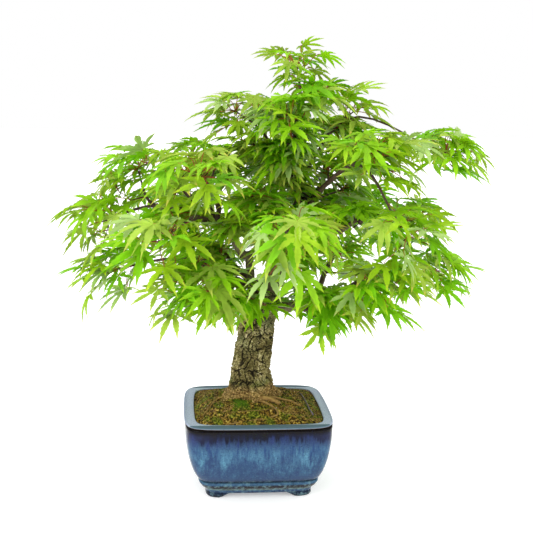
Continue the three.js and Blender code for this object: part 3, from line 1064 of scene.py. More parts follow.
@dataclass
class Soil:
    """The soil's mound, with grit, fine roots, larger roots and a fallen twig on it."""

    pot: Pot
    crest: float
    seat_centre: tuple[float, float]
    seat_left: float = 10 * MM  # how far the seat's middle is to the left of the pot's
    edge: float = 106.4 * MM  # the height of the soil at the pot's wall
    wall_gap: float = 0.2 * MM
    depth: float = 18 * MM  # how far the visible soil goes down
    seat: tuple[float, float] = (44 * MM, 40 * MM)  # half its width and half its depth
    back_fall: float = 0.38  # how much of its rise the ground loses behind the trunk
    roughness: tuple[tuple[float, float], ...] = ((0.9, 34), (0.7, 11), (0.5, 4.5), (0.3, 2.4))  # mm
    patch: tuple[float, float] = (-103, 0.86)  # the green patch: degrees round, and the way in
    fine_root_count: int = 120
    # Each larger root's course, in degrees round and the way in, with its first and last radius.
    roots: tuple[tuple[Course, float, float], ...] = (
        (((-75, 1.05), (-78, 0.85), (-84, 0.5), (-94, 0.08)), 2.0 * MM, 0.8 * MM),
        (((-50, 1.1), (-38, 0.95), (-30, 0.75), (-24, 0.5)), 2.4 * MM, 0.8 * MM),
        (((-150, 1.05), (-158, 0.8), (-152, 0.5), (-158, 0.25)), 1.2 * MM, 0.4 * MM),
        (((-68, 1.15), (-64, 1.0), (-60, 0.85), (-62, 0.72)), 4.6 * MM, 2.4 * MM),
    )
    twig: tuple[Course, float, float] = (
        ((-24, 0.22), (-14, 0.3), (0, 0.36), (14, 0.38)),
        1.1 * MM,
        0.7 * MM,
    )
    rows: int = 84
    columns: int = 360
    seed: int = 11

    @classmethod
    def from_frame(cls, pot: Pot) -> "Soil":
        """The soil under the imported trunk."""
        trunk_low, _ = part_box("trunk")
        return cls(pot, trunk_low.z, (pot.centre[0] - cls.seat_left, pot.centre[1]))

    def ground(self, angles: Array, inward: Array) -> Array:
        """Points on the mound.

        From the pot's wall, at 0, the ground rises as a quarter of a sine to the level seat of the
        trunk, at 1, and shrinks to the seat's middle, at 2. It falls off behind the trunk, and
        ripples of four sizes roughen it.

        Args:
            angles: the way round.
            inward: the way in from the wall.

        Returns:
            x, y and z last.
        """
        wall = self.pot.outline(np.asarray(self.pot.rim_width + self.wall_gap), angles)
        seat_x = self.seat_centre[0] + self.seat[0] * np.cos(angles)
        seat_y = self.seat_centre[1] + self.seat[1] * np.sin(angles)
        out = np.clip(inward, 0.0, 1.0)
        core = np.clip(inward - 1.0, 0.0, 1.0)
        x = wall[..., 0] + (seat_x - wall[..., 0]) * out
        y = wall[..., 1] + (seat_y - wall[..., 1]) * out
        x = x + (self.seat_centre[0] - x) * core
        y = y + (self.seat_centre[1] - y) * core
        rise = (self.crest - self.edge) * np.sin(out * math.pi / 2) ** 1.25
        z = self.edge + rise * (1 - self.back_fall * smooth_step(0.0, 45 * MM, y - self.seat_centre[1]))
        flat = np.stack([x, y, np.zeros_like(x)], -1)
        rough = np.zeros_like(x)
        for number, (height, wavelength) in enumerate(self.roughness):
            rough = rough + height * ripples(flat, wavelength * MM, number + 1)
        held = smooth_step(0.0, 0.12, inward)
        return np.stack([x, y, z + MM * rough * (0.35 + 0.65 * held)], -1)

    def mound(self) -> Surface:
        """The soil's surface, carried down the wall below the rim and closed underneath.

        Returns:
            A closed surface.
        """
        angles = self.pot.even_angles()
        angles = np.interp(
            np.linspace(0, len(angles), self.columns, endpoint=False), np.arange(len(angles)), angles
        )
        inward = np.linspace(0.0, 1.98, self.rows)
        rings = self.ground(angles[None], inward[:, None])
        foot = rings[0].copy()
        foot[:, 2] = self.edge - self.depth
        return closed_tube(np.concatenate([foot[None], rings]))

    def grit(self, rng: np.random.Generator, count: int, sizes: tuple[float, float]) -> Surface:
        """Small stones half sunk in the ground: scattered, turned and unevenly scaled octahedra.

        Args:
            rng: scatters and shapes them.
            count: how many.
            sizes: their least and greatest radius.

        Returns:
            All the stones as one surface.
        """
        angles, inward = rng.random(count) * math.tau, rng.random(count) ** 0.8 * 0.95
        spots = self.ground(angles, inward)
        size = rng.uniform(*sizes, count)
        axes = unit(rng.normal(size=(count, 3, 3)))
        corners = np.concatenate([np.eye(3), -np.eye(3)])
        corners = corners * np.array([1.0, 0.8, 0.7])
        shaped = corners[None] * rng.uniform(0.7, 1.25, (count, 6, 1))
        placed = np.einsum("nij,nkj->nki", unit(axes), shaped) * size[:, None, None] + spots[:, None]
        above = [[0, 1, 2], [1, 3, 2], [3, 4, 2], [4, 0, 2]]
        below = [[1, 0, 5], [3, 1, 5], [4, 3, 5], [0, 4, 5]]
        faces = np.array(above + below)
        numbers = (np.arange(count) * 6)[:, None, None] + faces[None]
        return Surface(placed.reshape(-1, 3), triangles=numbers.reshape(-1, 3))

    def fine_roots(self, rng: np.random.Generator, count: int) -> Surface:
        """Thin roots that wander over the ground.

        Args:
            rng: gives each root its course and thickness.
            count: how many.

        Returns:
            All of them as one surface.
        """
        rows = 9
        start, turn = rng.random(count) * math.tau, rng.normal(0.0, 0.28, count)
        way_in, reach = rng.random(count) * 0.85, rng.normal(0.0, 0.22, count)
        along = np.linspace(0.0, 1.0, rows)
        angles = start[:, None] + turn[:, None] * along + 0.05 * np.sin(9 * along + start[:, None] * 7)
        inward = np.clip(way_in[:, None] + reach[:, None] * along, 0.02, 1.1)
        points = self.ground(angles, inward)
        points[..., 2] += 0.35 * MM
        radii = rng.uniform(0.25, 0.6, count)[:, None] * MM * np.linspace(1.0, 0.5, rows)
        return many_tubes(points, radii, 5)

    def surface_root(self, course: Course, thick: float, thin: float) -> tuple[Array, Array]:
        """One larger root, or twig, on the ground.

        Args:
            course: (degrees round, way in) of four places that it is drawn through.
            thick: its radius at the first of them.
            thin: its radius at the last.

        Returns:
            Its points and radii.
        """
        places = np.array(course)
        t = np.linspace(0.0, 1.0, 22)
        knots = np.linspace(0.0, 1.0, len(places))
        angles, inward = (np.interp(t, knots, places[:, axis]) for axis in (0, 1))
        points = self.ground(np.radians(angles), inward)
        points[:, 2] += 0.5 * thick
        for _ in range(4):
            points[1:-1] = (points[:-2] + 2 * points[1:-1] + points[2:]) / 4
        return points, np.linspace(thick, thin, len(t))

    def build(self) -> None:
        """Makes the soil and all that lies on it."""
        rng = np.random.default_rng(self.seed)
        round_to, way_in = self.patch
        patch = tuple(self.ground(np.array(math.radians(round_to)), np.array(way_in)))
        soil = self.mound().piece("mossy_soil", SoilFinish(patch).material())
        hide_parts("soil")
        for kind in Grit:
            colour, count, (least, greatest) = kind.value
            name = f"grit_{kind.name.lower()}"
            stones = self.grit(rng, count, (least * MM, greatest * MM))
            finish = GritFinish(name, colour)
            stones.piece(name, finish.material(), smooth=False)
        pale_root = WoodFinish("pale_root", (0.68, 0.55, 0.31), (0.47, 0.35, 0.17), 3 * MM, 0.8)
        root_bark = pale_root.material()
        self.fine_roots(rng, self.fine_root_count).piece("fine_roots", root_bark)
        tubes = [self.surface_root(*root) for root in self.roots]
        points, radii = (np.stack([tube[i] for tube in tubes]) for i in (0, 1))
        many_tubes(points, radii, 9).piece("surface_roots", root_bark)
        twig_bark = WoodFinish("fallen_twig", (0.52, 0.47, 0.52), (0.38, 0.32, 0.36), 4 * MM, 0.7)
        twig, thickness = self.surface_root(*self.twig)
        twig[:, 2] += 1.2 * MM
        fallen = many_tubes(twig[None], thickness[None], 7)
        fallen.piece("fallen_twig", twig_bark.material())


# Trunk and boughs


@dataclass
class Limb:
    """A trunk or bough as a path with a radius at each of its points, thick end first."""

    name: str
    points: Array
    radii: Array

    @classmethod
    def from_node(cls, name: str, node: bpy.types.Object, rows: int = 14) -> "Limb":
        """Reads a limb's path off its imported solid.

        The solid's corners are sorted along its longest direction. Each point of the path is the mean of
        the corners about there, weighted by a bell curve, and its radius is their mean distance from it.

        Args:
            name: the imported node's name.
            node: its object.
            rows: how many points the path gets.

        Returns:
            The limb.
        """
        corners = np.empty(len(node.data.vertices) * 3)
        node.data.vertices.foreach_get("co", corners)
        corners = np.unique(corners.reshape(-1, 3).round(6), axis=0)
        middle = corners.mean(0)
        way = np.linalg.svd(corners - middle, full_matrices=False)[2][0]
        share = (corners - middle) @ way
        low, high = share.min(), share.max()
        reach = (high - low) / (rows - 1)
        places = np.linspace(low + 0.3 * reach, high - 0.3 * reach, rows)
        weights = np.exp(-(((share - places[:, None]) / (0.75 * reach)) ** 2))
        weights /= weights.sum(1, keepdims=True)
        points = weights @ corners
        tangents = unit(np.gradient(points, axis=0))
        apart = corners[None] - points[:, None]
        apart -= (apart * tangents[:, None]).sum(-1, keepdims=True) * tangents[:, None]
        radii = np.sqrt((weights * (apart**2).sum(-1)).sum(1))
        if radii[:3].mean() < radii[-3:].mean():
            points, radii = points[::-1], radii[::-1]
        return cls(name, points, radii)

    def drawn_out(self, start: float, end: float) -> "Limb":
        """The same limb carried on by these lengths past its first and last points.

        Args:
            start: the length past its first point.
            end: the length past its last.

        Returns:
            The longer limb.
        """
        first = self.points[0] + unit(self.points[0] - self.points[1]) * start
        last = self.points[-1] + unit(self.points[-1] - self.points[-2]) * end
        points = np.concatenate([first[None], self.points, last[None]])
        radii = np.concatenate([self.radii[:1] * 1.05, self.radii, self.radii[-1:] * 0.9])
        return Limb(self.name, points, radii)

    def barked(self, rows: int, sides: int, depth: float, cell: float, seed: int) -> Surface:
        """The limb's surface with bark in relief: plates parted by cracks, over gentle swellings.

        Args:
            rows: rings along it.
            sides: points round it.
            depth: how deep the cracks are.
            cell: how wide a plate is.
            seed: picks the plates.

        Returns:
            A closed surface with its relief.
        """
        points, radii = resampled(self.points, self.radii, rows)
        length = np.linalg.norm(np.diff(points, axis=0), axis=1).sum()
        count = max(4, round(math.tau * radii.mean() / cell))
        around, along = np.meshgrid(
            np.arange(sides) * count / sides, np.linspace(0, length / (1.7 * cell), rows), indexing="xy"
        )
        plates = smooth_step(0.0, 0.35, cell_borders(around, along, count, seed))
        smooth_ring = rings_along(points[None], radii[None], sides)[0]
        swell = 1 + 0.07 * ripples(smooth_ring, 28 * MM, seed + 1)
        radius = radii[:, None] * swell + depth * (plates - 1) + 0.25 * depth * ripples(
            smooth_ring, 2.5 * MM, seed + 2
        )
        return closed_tube(rings_along(points[None], radius[None], sides)[0], plates)


@dataclass
class Trunk:
    """The trunk: a leaning column with a root flare, deeply plated bark and a rounded, burred top."""

    foot: float = 25 * MM
    head: float = 22.5 * MM
    flare: float = 12 * MM
    flare_height: float = 34 * MM
    roots: int = 5
    below: float = 10 * MM  # how far it goes on below the soil
    crown: float = 12 * MM  # the height of its rounded top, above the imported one
    leaning_root: float = 195.0  # degrees round to the largest root
    big_plates: tuple[int, float] = (14, 15 * MM)  # how many go round, and how tall each is
    small_plates: tuple[int, float] = (33, 6 * MM)
    big_crack: float = 3.0 * MM
    small_crack: float = 1.8 * MM
    plate_rise: float = 1.4 * MM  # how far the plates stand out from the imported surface
    burr_height: float = 0.95  # of the trunk's height
    burr_angle: float = -0.5  # radians round
    burr_size: tuple[float, float] = (11 * MM, 0.5)  # up and down, and radians round
    burr_rise: float = 6.0 * MM
    burr_hollow: float = 5.0 * MM
    rows: int = 290
    sides: int = 320
    seed: int = 5

    def axis(self, solid: Limb, low: float, high: float) -> tuple[Array, Array]:
        """Heights from below the soil to the rounded top, and the middle of the trunk at each.

        Args:
            solid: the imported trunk's path.
            low: the height of its foot.
            high: the height of its top.

        Returns:
            The heights, and x and y at each.
        """
        points = solid.points[np.argsort(solid.points[:, 2])]
        heights = np.linspace(low - self.below, high + self.crown, self.rows)
        middle = np.stack([np.interp(heights, points[:, 2], points[:, axis]) for axis in (0, 1)], -1)
        return heights, middle

    def plates(self, ring: Array, around: Array, along: Array) -> tuple[Array, Array]:
        """The bark's plates.

        Big and small cells, both bent out of line by ripples, take turns over the trunk: the big ones
        lie low on it, and the small ones lie above and between them.

        Args:
            ring: each point round a straight trunk, for the ripples.
            around: turns round the trunk.
            along: height.

        Returns:
            How deep the bark is at each point, negative in cracks, and the relief from 0 to 1.
        """
        bend = 0.16 * ripples(ring, 24 * MM, self.seed) + 0.07 * ripples(ring, 7 * MM, self.seed + 5)
        lean = 0.16 * ripples(ring, 24 * MM, self.seed + 6) + 0.07 * ripples(ring, 7 * MM, self.seed + 7)
        count, tall = self.big_plates
        big = cell_borders((around * count + bend) % count, along / tall + lean, count, self.seed)
        count, tall = self.small_plates
        small = cell_borders(
            (around * count + 2 * bend) % count, along / tall + 2 * lean, count, self.seed + 1
        )
        big_plates = smooth_step(0.02, 0.16, big)
        small_plates = smooth_step(0.02, 0.4, small)
        up = (along - along.min()) / np.ptp(along)
        patchy = ripples(ring, 30 * MM, self.seed + 8)
        small_share = 0.55 + 0.45 * smooth_step(-0.4, 0.5, patchy + 1.4 * up - 0.7)
        big_share = smooth_step(-2.4, -0.4, ripples(ring, 22 * MM, self.seed + 12)) * (
            1 - 0.7 * smooth_step(0.6, 0.9, up)
        )
        grain = ripples(ring, 2.4 * MM, self.seed + 3)
        depth = self.big_crack * big_share * (big_plates - 1)
        depth = depth + self.small_crack * small_share * (small_plates - 1)
        depth = depth + 0.55 * MM * grain + 0.45 * MM * ripples(ring, 1.6 * MM, self.seed + 9)
        relief = 1 - 1.05 * big_share * (1 - big_plates) - 0.7 * small_share * (1 - small_plates)
        return depth + self.plate_rise, np.clip(relief + 0.2 * grain, 0.0, 1.0)

    def surface(self, solid: Limb, low: float, high: float) -> Surface:
        """The barked surface.

        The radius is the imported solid's own formula, a taper and a lobed flare, and on it come a burr
        with a hollow, swellings, plates and the fibrous grooves of the roots. At the top it closes as a
        quarter of an ellipse.

        Args:
            solid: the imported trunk's path.
            low: the height of its foot.
            high: the height of its top.

        Returns:
            A closed surface with its relief.
        """
        heights, middle = self.axis(solid, low, high)
        angles = np.arange(self.sides) * math.tau / self.sides
        up = np.clip((heights - low) / (high - low), 0.0, 1.0)[:, None]
        above = (heights - low)[:, None]
        spread = self.flare * np.exp(-3.0 * np.clip(above, -4 * MM, None) / self.flare_height)
        lobes = 1 + 0.35 * np.cos(self.roots * angles + 0.6) + 0.14 * np.cos(13 * angles + 2.0)
        from_root = np.angle(np.exp(1j * (angles - math.radians(self.leaning_root))))
        leftward = np.exp(-((from_root / 0.7) ** 2))
        lobes = lobes + 0.5 * leftward
        radius = self.foot + (self.head - self.foot) * up + spread * lobes
        radius = radius + 1.6 * MM * leftward * (1 - up)
        tall, wide = self.burr_size
        from_burr = np.hypot(
            (above - (high - low) * self.burr_height) / tall,
            np.angle(np.exp(1j * (angles - self.burr_angle))) / wide,
        )
        radius = radius + self.burr_rise * np.exp(-(from_burr**2))
        radius = radius - self.burr_hollow * np.exp(-((2.3 * from_burr) ** 2))
        closing = np.clip((heights - high) / self.crown, 0.0, 0.985)[:, None]
        radius = radius * np.sqrt(1 - closing**2)
        around, along = np.meshgrid(angles / math.tau, heights, indexing="xy")
        upright = np.stack([np.cos(angles), np.sin(angles)], -1)
        ring = np.concatenate([upright[None] * radius[..., None], along[..., None]], -1)
        depth, relief = self.plates(ring, around, along)
        depth = depth + 1.1 * MM * ripples(ring, 19 * MM, self.seed + 2)
        fibrous = smooth_step(20 * MM, 9 * MM, above + 2.5 * MM * ripples(ring, 20 * MM, self.seed + 11))
        grooves = 0.8 * MM * np.sin(29 * angles + 2.6 * ripples(ring, 17 * MM, self.seed + 4))
        grooves = grooves + 0.7 * MM * ripples(ring, 5 * MM, self.seed + 10)
        radius = radius + depth * (1 - 0.75 * fibrous) + grooves * fibrous
        hollow = np.exp(-((1.9 * from_burr) ** 2))
        fibres = 0.5 + 0.35 * ripples(ring, 3 * MM, 77)
        # Lowering the relief in the burr's hollow darkens it there as painted shade.
        relief = relief * (1 - fibrous) + fibres * fibrous - 0.8 * hollow
        rings = np.concatenate(
            [middle[:, None] + upright[None] * radius[..., None], along[..., None]], -1
        )
        return closed_tube(rings, np.clip(relief, 0.0, 1.0))


# Leaves


class Tone(Enum):
    """The greens of the crown: the colour of a leaf's blade, and the colour of its lobes' tips."""

    # A pale grey-green that stands for the sheen on leaves facing up: a painted sheen over their green.
    SAGE = ((0.64, 0.76, 0.42), (0.70, 0.78, 0.40))
    SPRING = ((0.64, 0.76, 0.26), (0.73, 0.79, 0.30))
    LIME = ((0.60, 0.76, 0.10), (0.69, 0.79, 0.16))
    FRESH = ((0.56, 0.78, 0.07), (0.64, 0.80, 0.11))
    # A darker green, partly painted shade, drawn more often low in the crown.
    DEEP = ((0.48, 0.74, 0.06), (0.56, 0.77, 0.09))
    OLIVE = ((0.61, 0.72, 0.22), (0.74, 0.73, 0.27))

    def materials(self) -> tuple[Material, Material]:
        """The blade's material and its tips'.

        Returns:
            Two materials.
        """
        label = self.name.lower()
        blade, tip = self.value
        return (
            LeafFinish(f"leaf_{label}", blade).material(),
            LeafFinish(f"leaf_{label}_tips", tip).material(),
        )


@dataclass(frozen=True)
class LeafShape:
    """A hand-shaped leaf, one long from its stalk to the tip of its middle lobe.

    Each lobe is a strip of rows across its own midrib. Up to the sinus, the strips meet edge to edge.
    Past it, each strip swells, then narrows through coarse teeth to a drawn-out tip.
    """

    lobe_angles: tuple[float, ...] = (0.0, 37.0, -37.0, 76.0, -76.0, 122.0, -122.0)
    lobe_lengths: tuple[float, ...] = (1.0, 0.92, 0.92, 0.70, 0.70, 0.34, 0.34)
    sinus: float = 0.30  # how far out a long lobe parts from its neighbours, of the leaf's length
    short_sinus: float = 0.62  # the same for the two short lobes, as a share of that
    half_width: float = 0.083
    web_angle: float = 20.0  # degrees from a lobe's midrib to the edge that it shares
    places: tuple[float, ...] = (0.0, 0.14, 0.3, 0.33, 0.48, 0.51, 0.66, 0.69, 0.84, 1.0)
    widths: tuple[float, ...] = (0.70, 0.92, 1.12, 0.93, 1.04, 0.76, 0.76, 0.46, 0.27, 0.0)
    short_places: tuple[float, ...] = (0.0, 0.4, 0.7, 1.0)
    short_widths: tuple[float, ...] = (0.8, 1.05, 0.6, 0.0)
    tip_from: float = 0.8
    opening: tuple[float, float] = (0.78, 1.08)  # how wide a leaf opens its lobes
    unevenness: float = 0.05  # radians, from lobe to lobe
    drooping: tuple[float, float] = (0.7, 1.35)  # a lobe's share of its leaf's droop
    folding: tuple[float, float] = (0.3, 0.75)
    swinging: float = 0.1
    stretching: tuple[float, float] = (0.9, 1.08)

    def template(self) -> tuple[Array, Array, Array, Array]:
        """The leaf laid flat.

        Returns:
            For each vertex its distance along its lobe and across it, then its lobe's number. For each
            face its four vertices, then its material slot.
        """
        along, across, lobe, quads, slots = [], [], [], [], []
        start = 0
        for number, length in enumerate(self.lobe_lengths):
            short = length < 0.5
            root = self.sinus * (self.short_sinus if short else 1.0)
            places = np.array(self.short_places if short else self.places)
            widths = np.array(self.short_widths if short else self.widths)
            distance = np.concatenate([[0.0, root], root + (0.02 + 0.98 * places) * (length - root)])
            width = np.concatenate([[0.0, 0.0], widths * self.half_width * length**0.5])
            width[1] = root * math.tan(math.radians(self.web_angle))
            rows = len(distance)
            along.append(np.repeat(distance, 3))
            across.append((width[:, None] * np.array([-1.0, 0.0, 1.0])).ravel())
            lobe.append(np.full(rows * 3, number))
            quads.append(grid_quads(rows, 3, wrap=False)[:, ::-1] + start)
            outer = np.concatenate([[-1.0], places]) >= self.tip_from
            slots.append(np.repeat(outer.astype(int), 2))
            start += rows * 3
        return (
            np.stack([np.concatenate(along), np.concatenate(across)], -1),
            np.concatenate(lobe),
            np.concatenate(quads),
            np.concatenate(slots),
        )


@dataclass
class Leaves:
    """Where every leaf is: its stalk's end, its midrib's way, the way it faces, its size and droop."""

    base: Array
    midrib: Array
    facing: Array
    size: Array
    droop: Array

    def surface(self, shape: LeafShape, rng: np.random.Generator) -> Surface:
        """All the blades as one surface.

        Each lobe folds up along its midrib and bends down towards its tip, each by its own amount, and
        swings a little to one side. A blade's edges lift by the fold times the distance across, and its
        tips sink by the droop times the square of the distance out.

        Args:
            shape: the leaf's outline.
            rng: gives each lobe its own amounts.

        Returns:
            One surface with two slots, for blades and tips.
        """
        flat, lobe, quads, slots = shape.template()
        count = len(self.size)
        lobes = len(shape.lobe_angles)
        opened = rng.uniform(*shape.opening, (count, 1))
        angle = np.radians(np.array(shape.lobe_angles)) * opened
        angle = angle + rng.normal(0.0, shape.unevenness, (count, lobes))
        droop = self.droop[:, None] * rng.uniform(*shape.drooping, (count, lobes))
        fold = rng.uniform(*shape.folding, (count, lobes))
        swing = rng.normal(0.0, shape.swinging, (count, lobes))
        stretch = rng.uniform(*shape.stretching, (count, lobes))
        out = flat[:, 0] * stretch[:, lobe]
        side = flat[:, 1] + swing[:, lobe] * flat[:, 0] ** 2 * 0.8
        turn = angle[:, lobe]
        x = out * np.sin(turn) + side * np.cos(turn)
        y = out * np.cos(turn) - side * np.sin(turn)
        past = np.clip(flat[:, 0] - 0.5, 0.0, None)
        z = fold[:, lobe] * np.abs(flat[:, 1]) - droop[:, lobe] * (flat[:, 0] ** 2 + 0.9 * past**2)
        # A lobe that bends down reaches less far out.
        shorten = 1.0 - 0.35 * (droop[:, lobe] * flat[:, 0]) ** 2
        local = np.stack([x * shorten, y * shorten, z], -1) * self.size[:, None, None]
        sideways = np.cross(self.midrib, self.facing)
        axes = np.stack([sideways, self.midrib, self.facing], 1)
        placed = np.einsum("nvk,nkx->nvx", local, axes) + self.base[:, None]
        starts = (np.arange(count) * len(flat))[:, None, None]
        return Surface(
            placed.reshape(-1, 3), (quads[None] + starts).reshape(-1, 4), slots=np.tile(slots, count)
        )


# The crown


@dataclass
class Mass:
    """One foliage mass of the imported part: its corners and its middle."""

    name: str
    corners: Array

    @classmethod
    def from_node(cls, name: str, node: bpy.types.Object) -> "Mass":
        """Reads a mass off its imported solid.

        Args:
            name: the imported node's name.
            node: its object.

        Returns:
            The mass.
        """
        corners = np.empty(len(node.data.vertices) * 3)
        node.data.vertices.foreach_get("co", corners)
        return cls(name, np.unique(corners.reshape(-1, 3).round(6), axis=0))

    @property
    def centre(self) -> Array:
        """The middle of its box."""
        return (self.corners.min(0) + self.corners.max(0)) / 2

    def reach(self, ways: Array) -> Array:
        """How far its outline is from its middle, the way of each level direction."""
        return ((self.corners - self.centre) @ ways.T).max(0)

    def half_height(self) -> float:
        """Half its height."""
        return float(np.ptp(self.corners[:, 2]) / 2)


@dataclass
class Habit:
    """How the twigs branch and the leaves hang."""

    leaf: float = 54 * MM  # from a large leaf's stalk to the tip of its middle lobe
    leaf_at_top: float = 44 * MM
    spacing: float = 37 * MM  # between neighbouring leaves of the top layer
    layers: tuple[tuple[float, float], ...] = ((1.0, 0.65), (0.6, 0.05), (0.4, -0.45))  # share, height
    thinner: float = 0.75  # how much of its lower layers a mass lacks at the crown's edge
    kept_in: float = 0.55  # of a leaf, which its stalk stays inside the mass's outline
    sag: float = 0.20  # how far a mass drops towards the crown's edge, for each step out
    golden_angle: float = 2.39996  # radians from one place of a layer's spiral to the next
    layer_turn: float = 1.3  # radians from one layer's spiral to the next
    layer_shrink: float = 0.12  # how much narrower each lower layer is
    dome: float = 0.35  # how far a layer's edge lies below its middle, in half heights
    jitter: tuple[float, float] = (0.2, 4 * MM)  # a place's unevenness, round in radians and in height
    longest_stalk: float = 34 * MM
    stalk: float = 22 * MM  # how short of a leaf its twig stops
    hanging_share: float = 0.3  # of the usual number of leaves, on the spray that hangs
    hanging_shift: float = 14 * MM  # how far out and up that spray is moved
    edge: tuple[float, float] = (0.5, 0.95)  # where the crown's edge zone lies, of its half width
    inner_spacing: float = 45 * MM  # between the side shoots of a bough inside the crown
    inner_closer: float = 0.45  # how much closer they are at the top
    inner_reach: float = 120 * MM  # from the crown's axis, as far as such shoots grow
    inner_length: tuple[float, float] = (34 * MM, 62 * MM)
    inner_rise: tuple[float, float] = (0.2, 0.8)  # of their level length
    inner_drop: float = 0.6  # how much less they rise low in the crown
    inner_half_height: float = 12 * MM
    tilt: tuple[float, float] = (2.0, 13.0)  # how far a leaf points down: mean and spread in degrees
    tilt_out: float = 10.0  # how much more at its pad's rim
    tilt_under: float = 8.0  # in the lowest layer
    tilt_edge: float = 18.0  # at the crown's edge
    tilt_hanging: float = 34.0  # on the spray that hangs
    roll: float = 18.0  # spread of a leaf's roll about its midrib, in degrees
    turn: float = 0.42  # spread of its way round, in radians
    own_tone: float = 0.4  # the share of leaves that keep their twig's green
    sizes: tuple[float, float] = (0.72, 1.1)
    smaller_at_rim: float = 0.14
    droop: tuple[float, float] = (0.06, 0.3)
    twig_rows: int = 9
    seed: int = 23


@dataclass
class Pad:
    """A layer of foliage: where it is, how far it spreads, and the wood that it grows from."""

    centre: Array
    half_height: float
    spread: Array  # how far it reaches at even steps round it
    start: Array
    way: Array
    radius: float
    hangs: bool = False

    def reach(self, angles: Array) -> Array:
        """How far it spreads at angles."""
        steps = np.linspace(0.0, math.tau, len(self.spread) + 1)
        return np.interp(angles % math.tau, steps, np.append(self.spread, self.spread[0]))

    def area(self) -> float:
        """Its area from above."""
        return float(math.pi * (self.spread**2).mean())


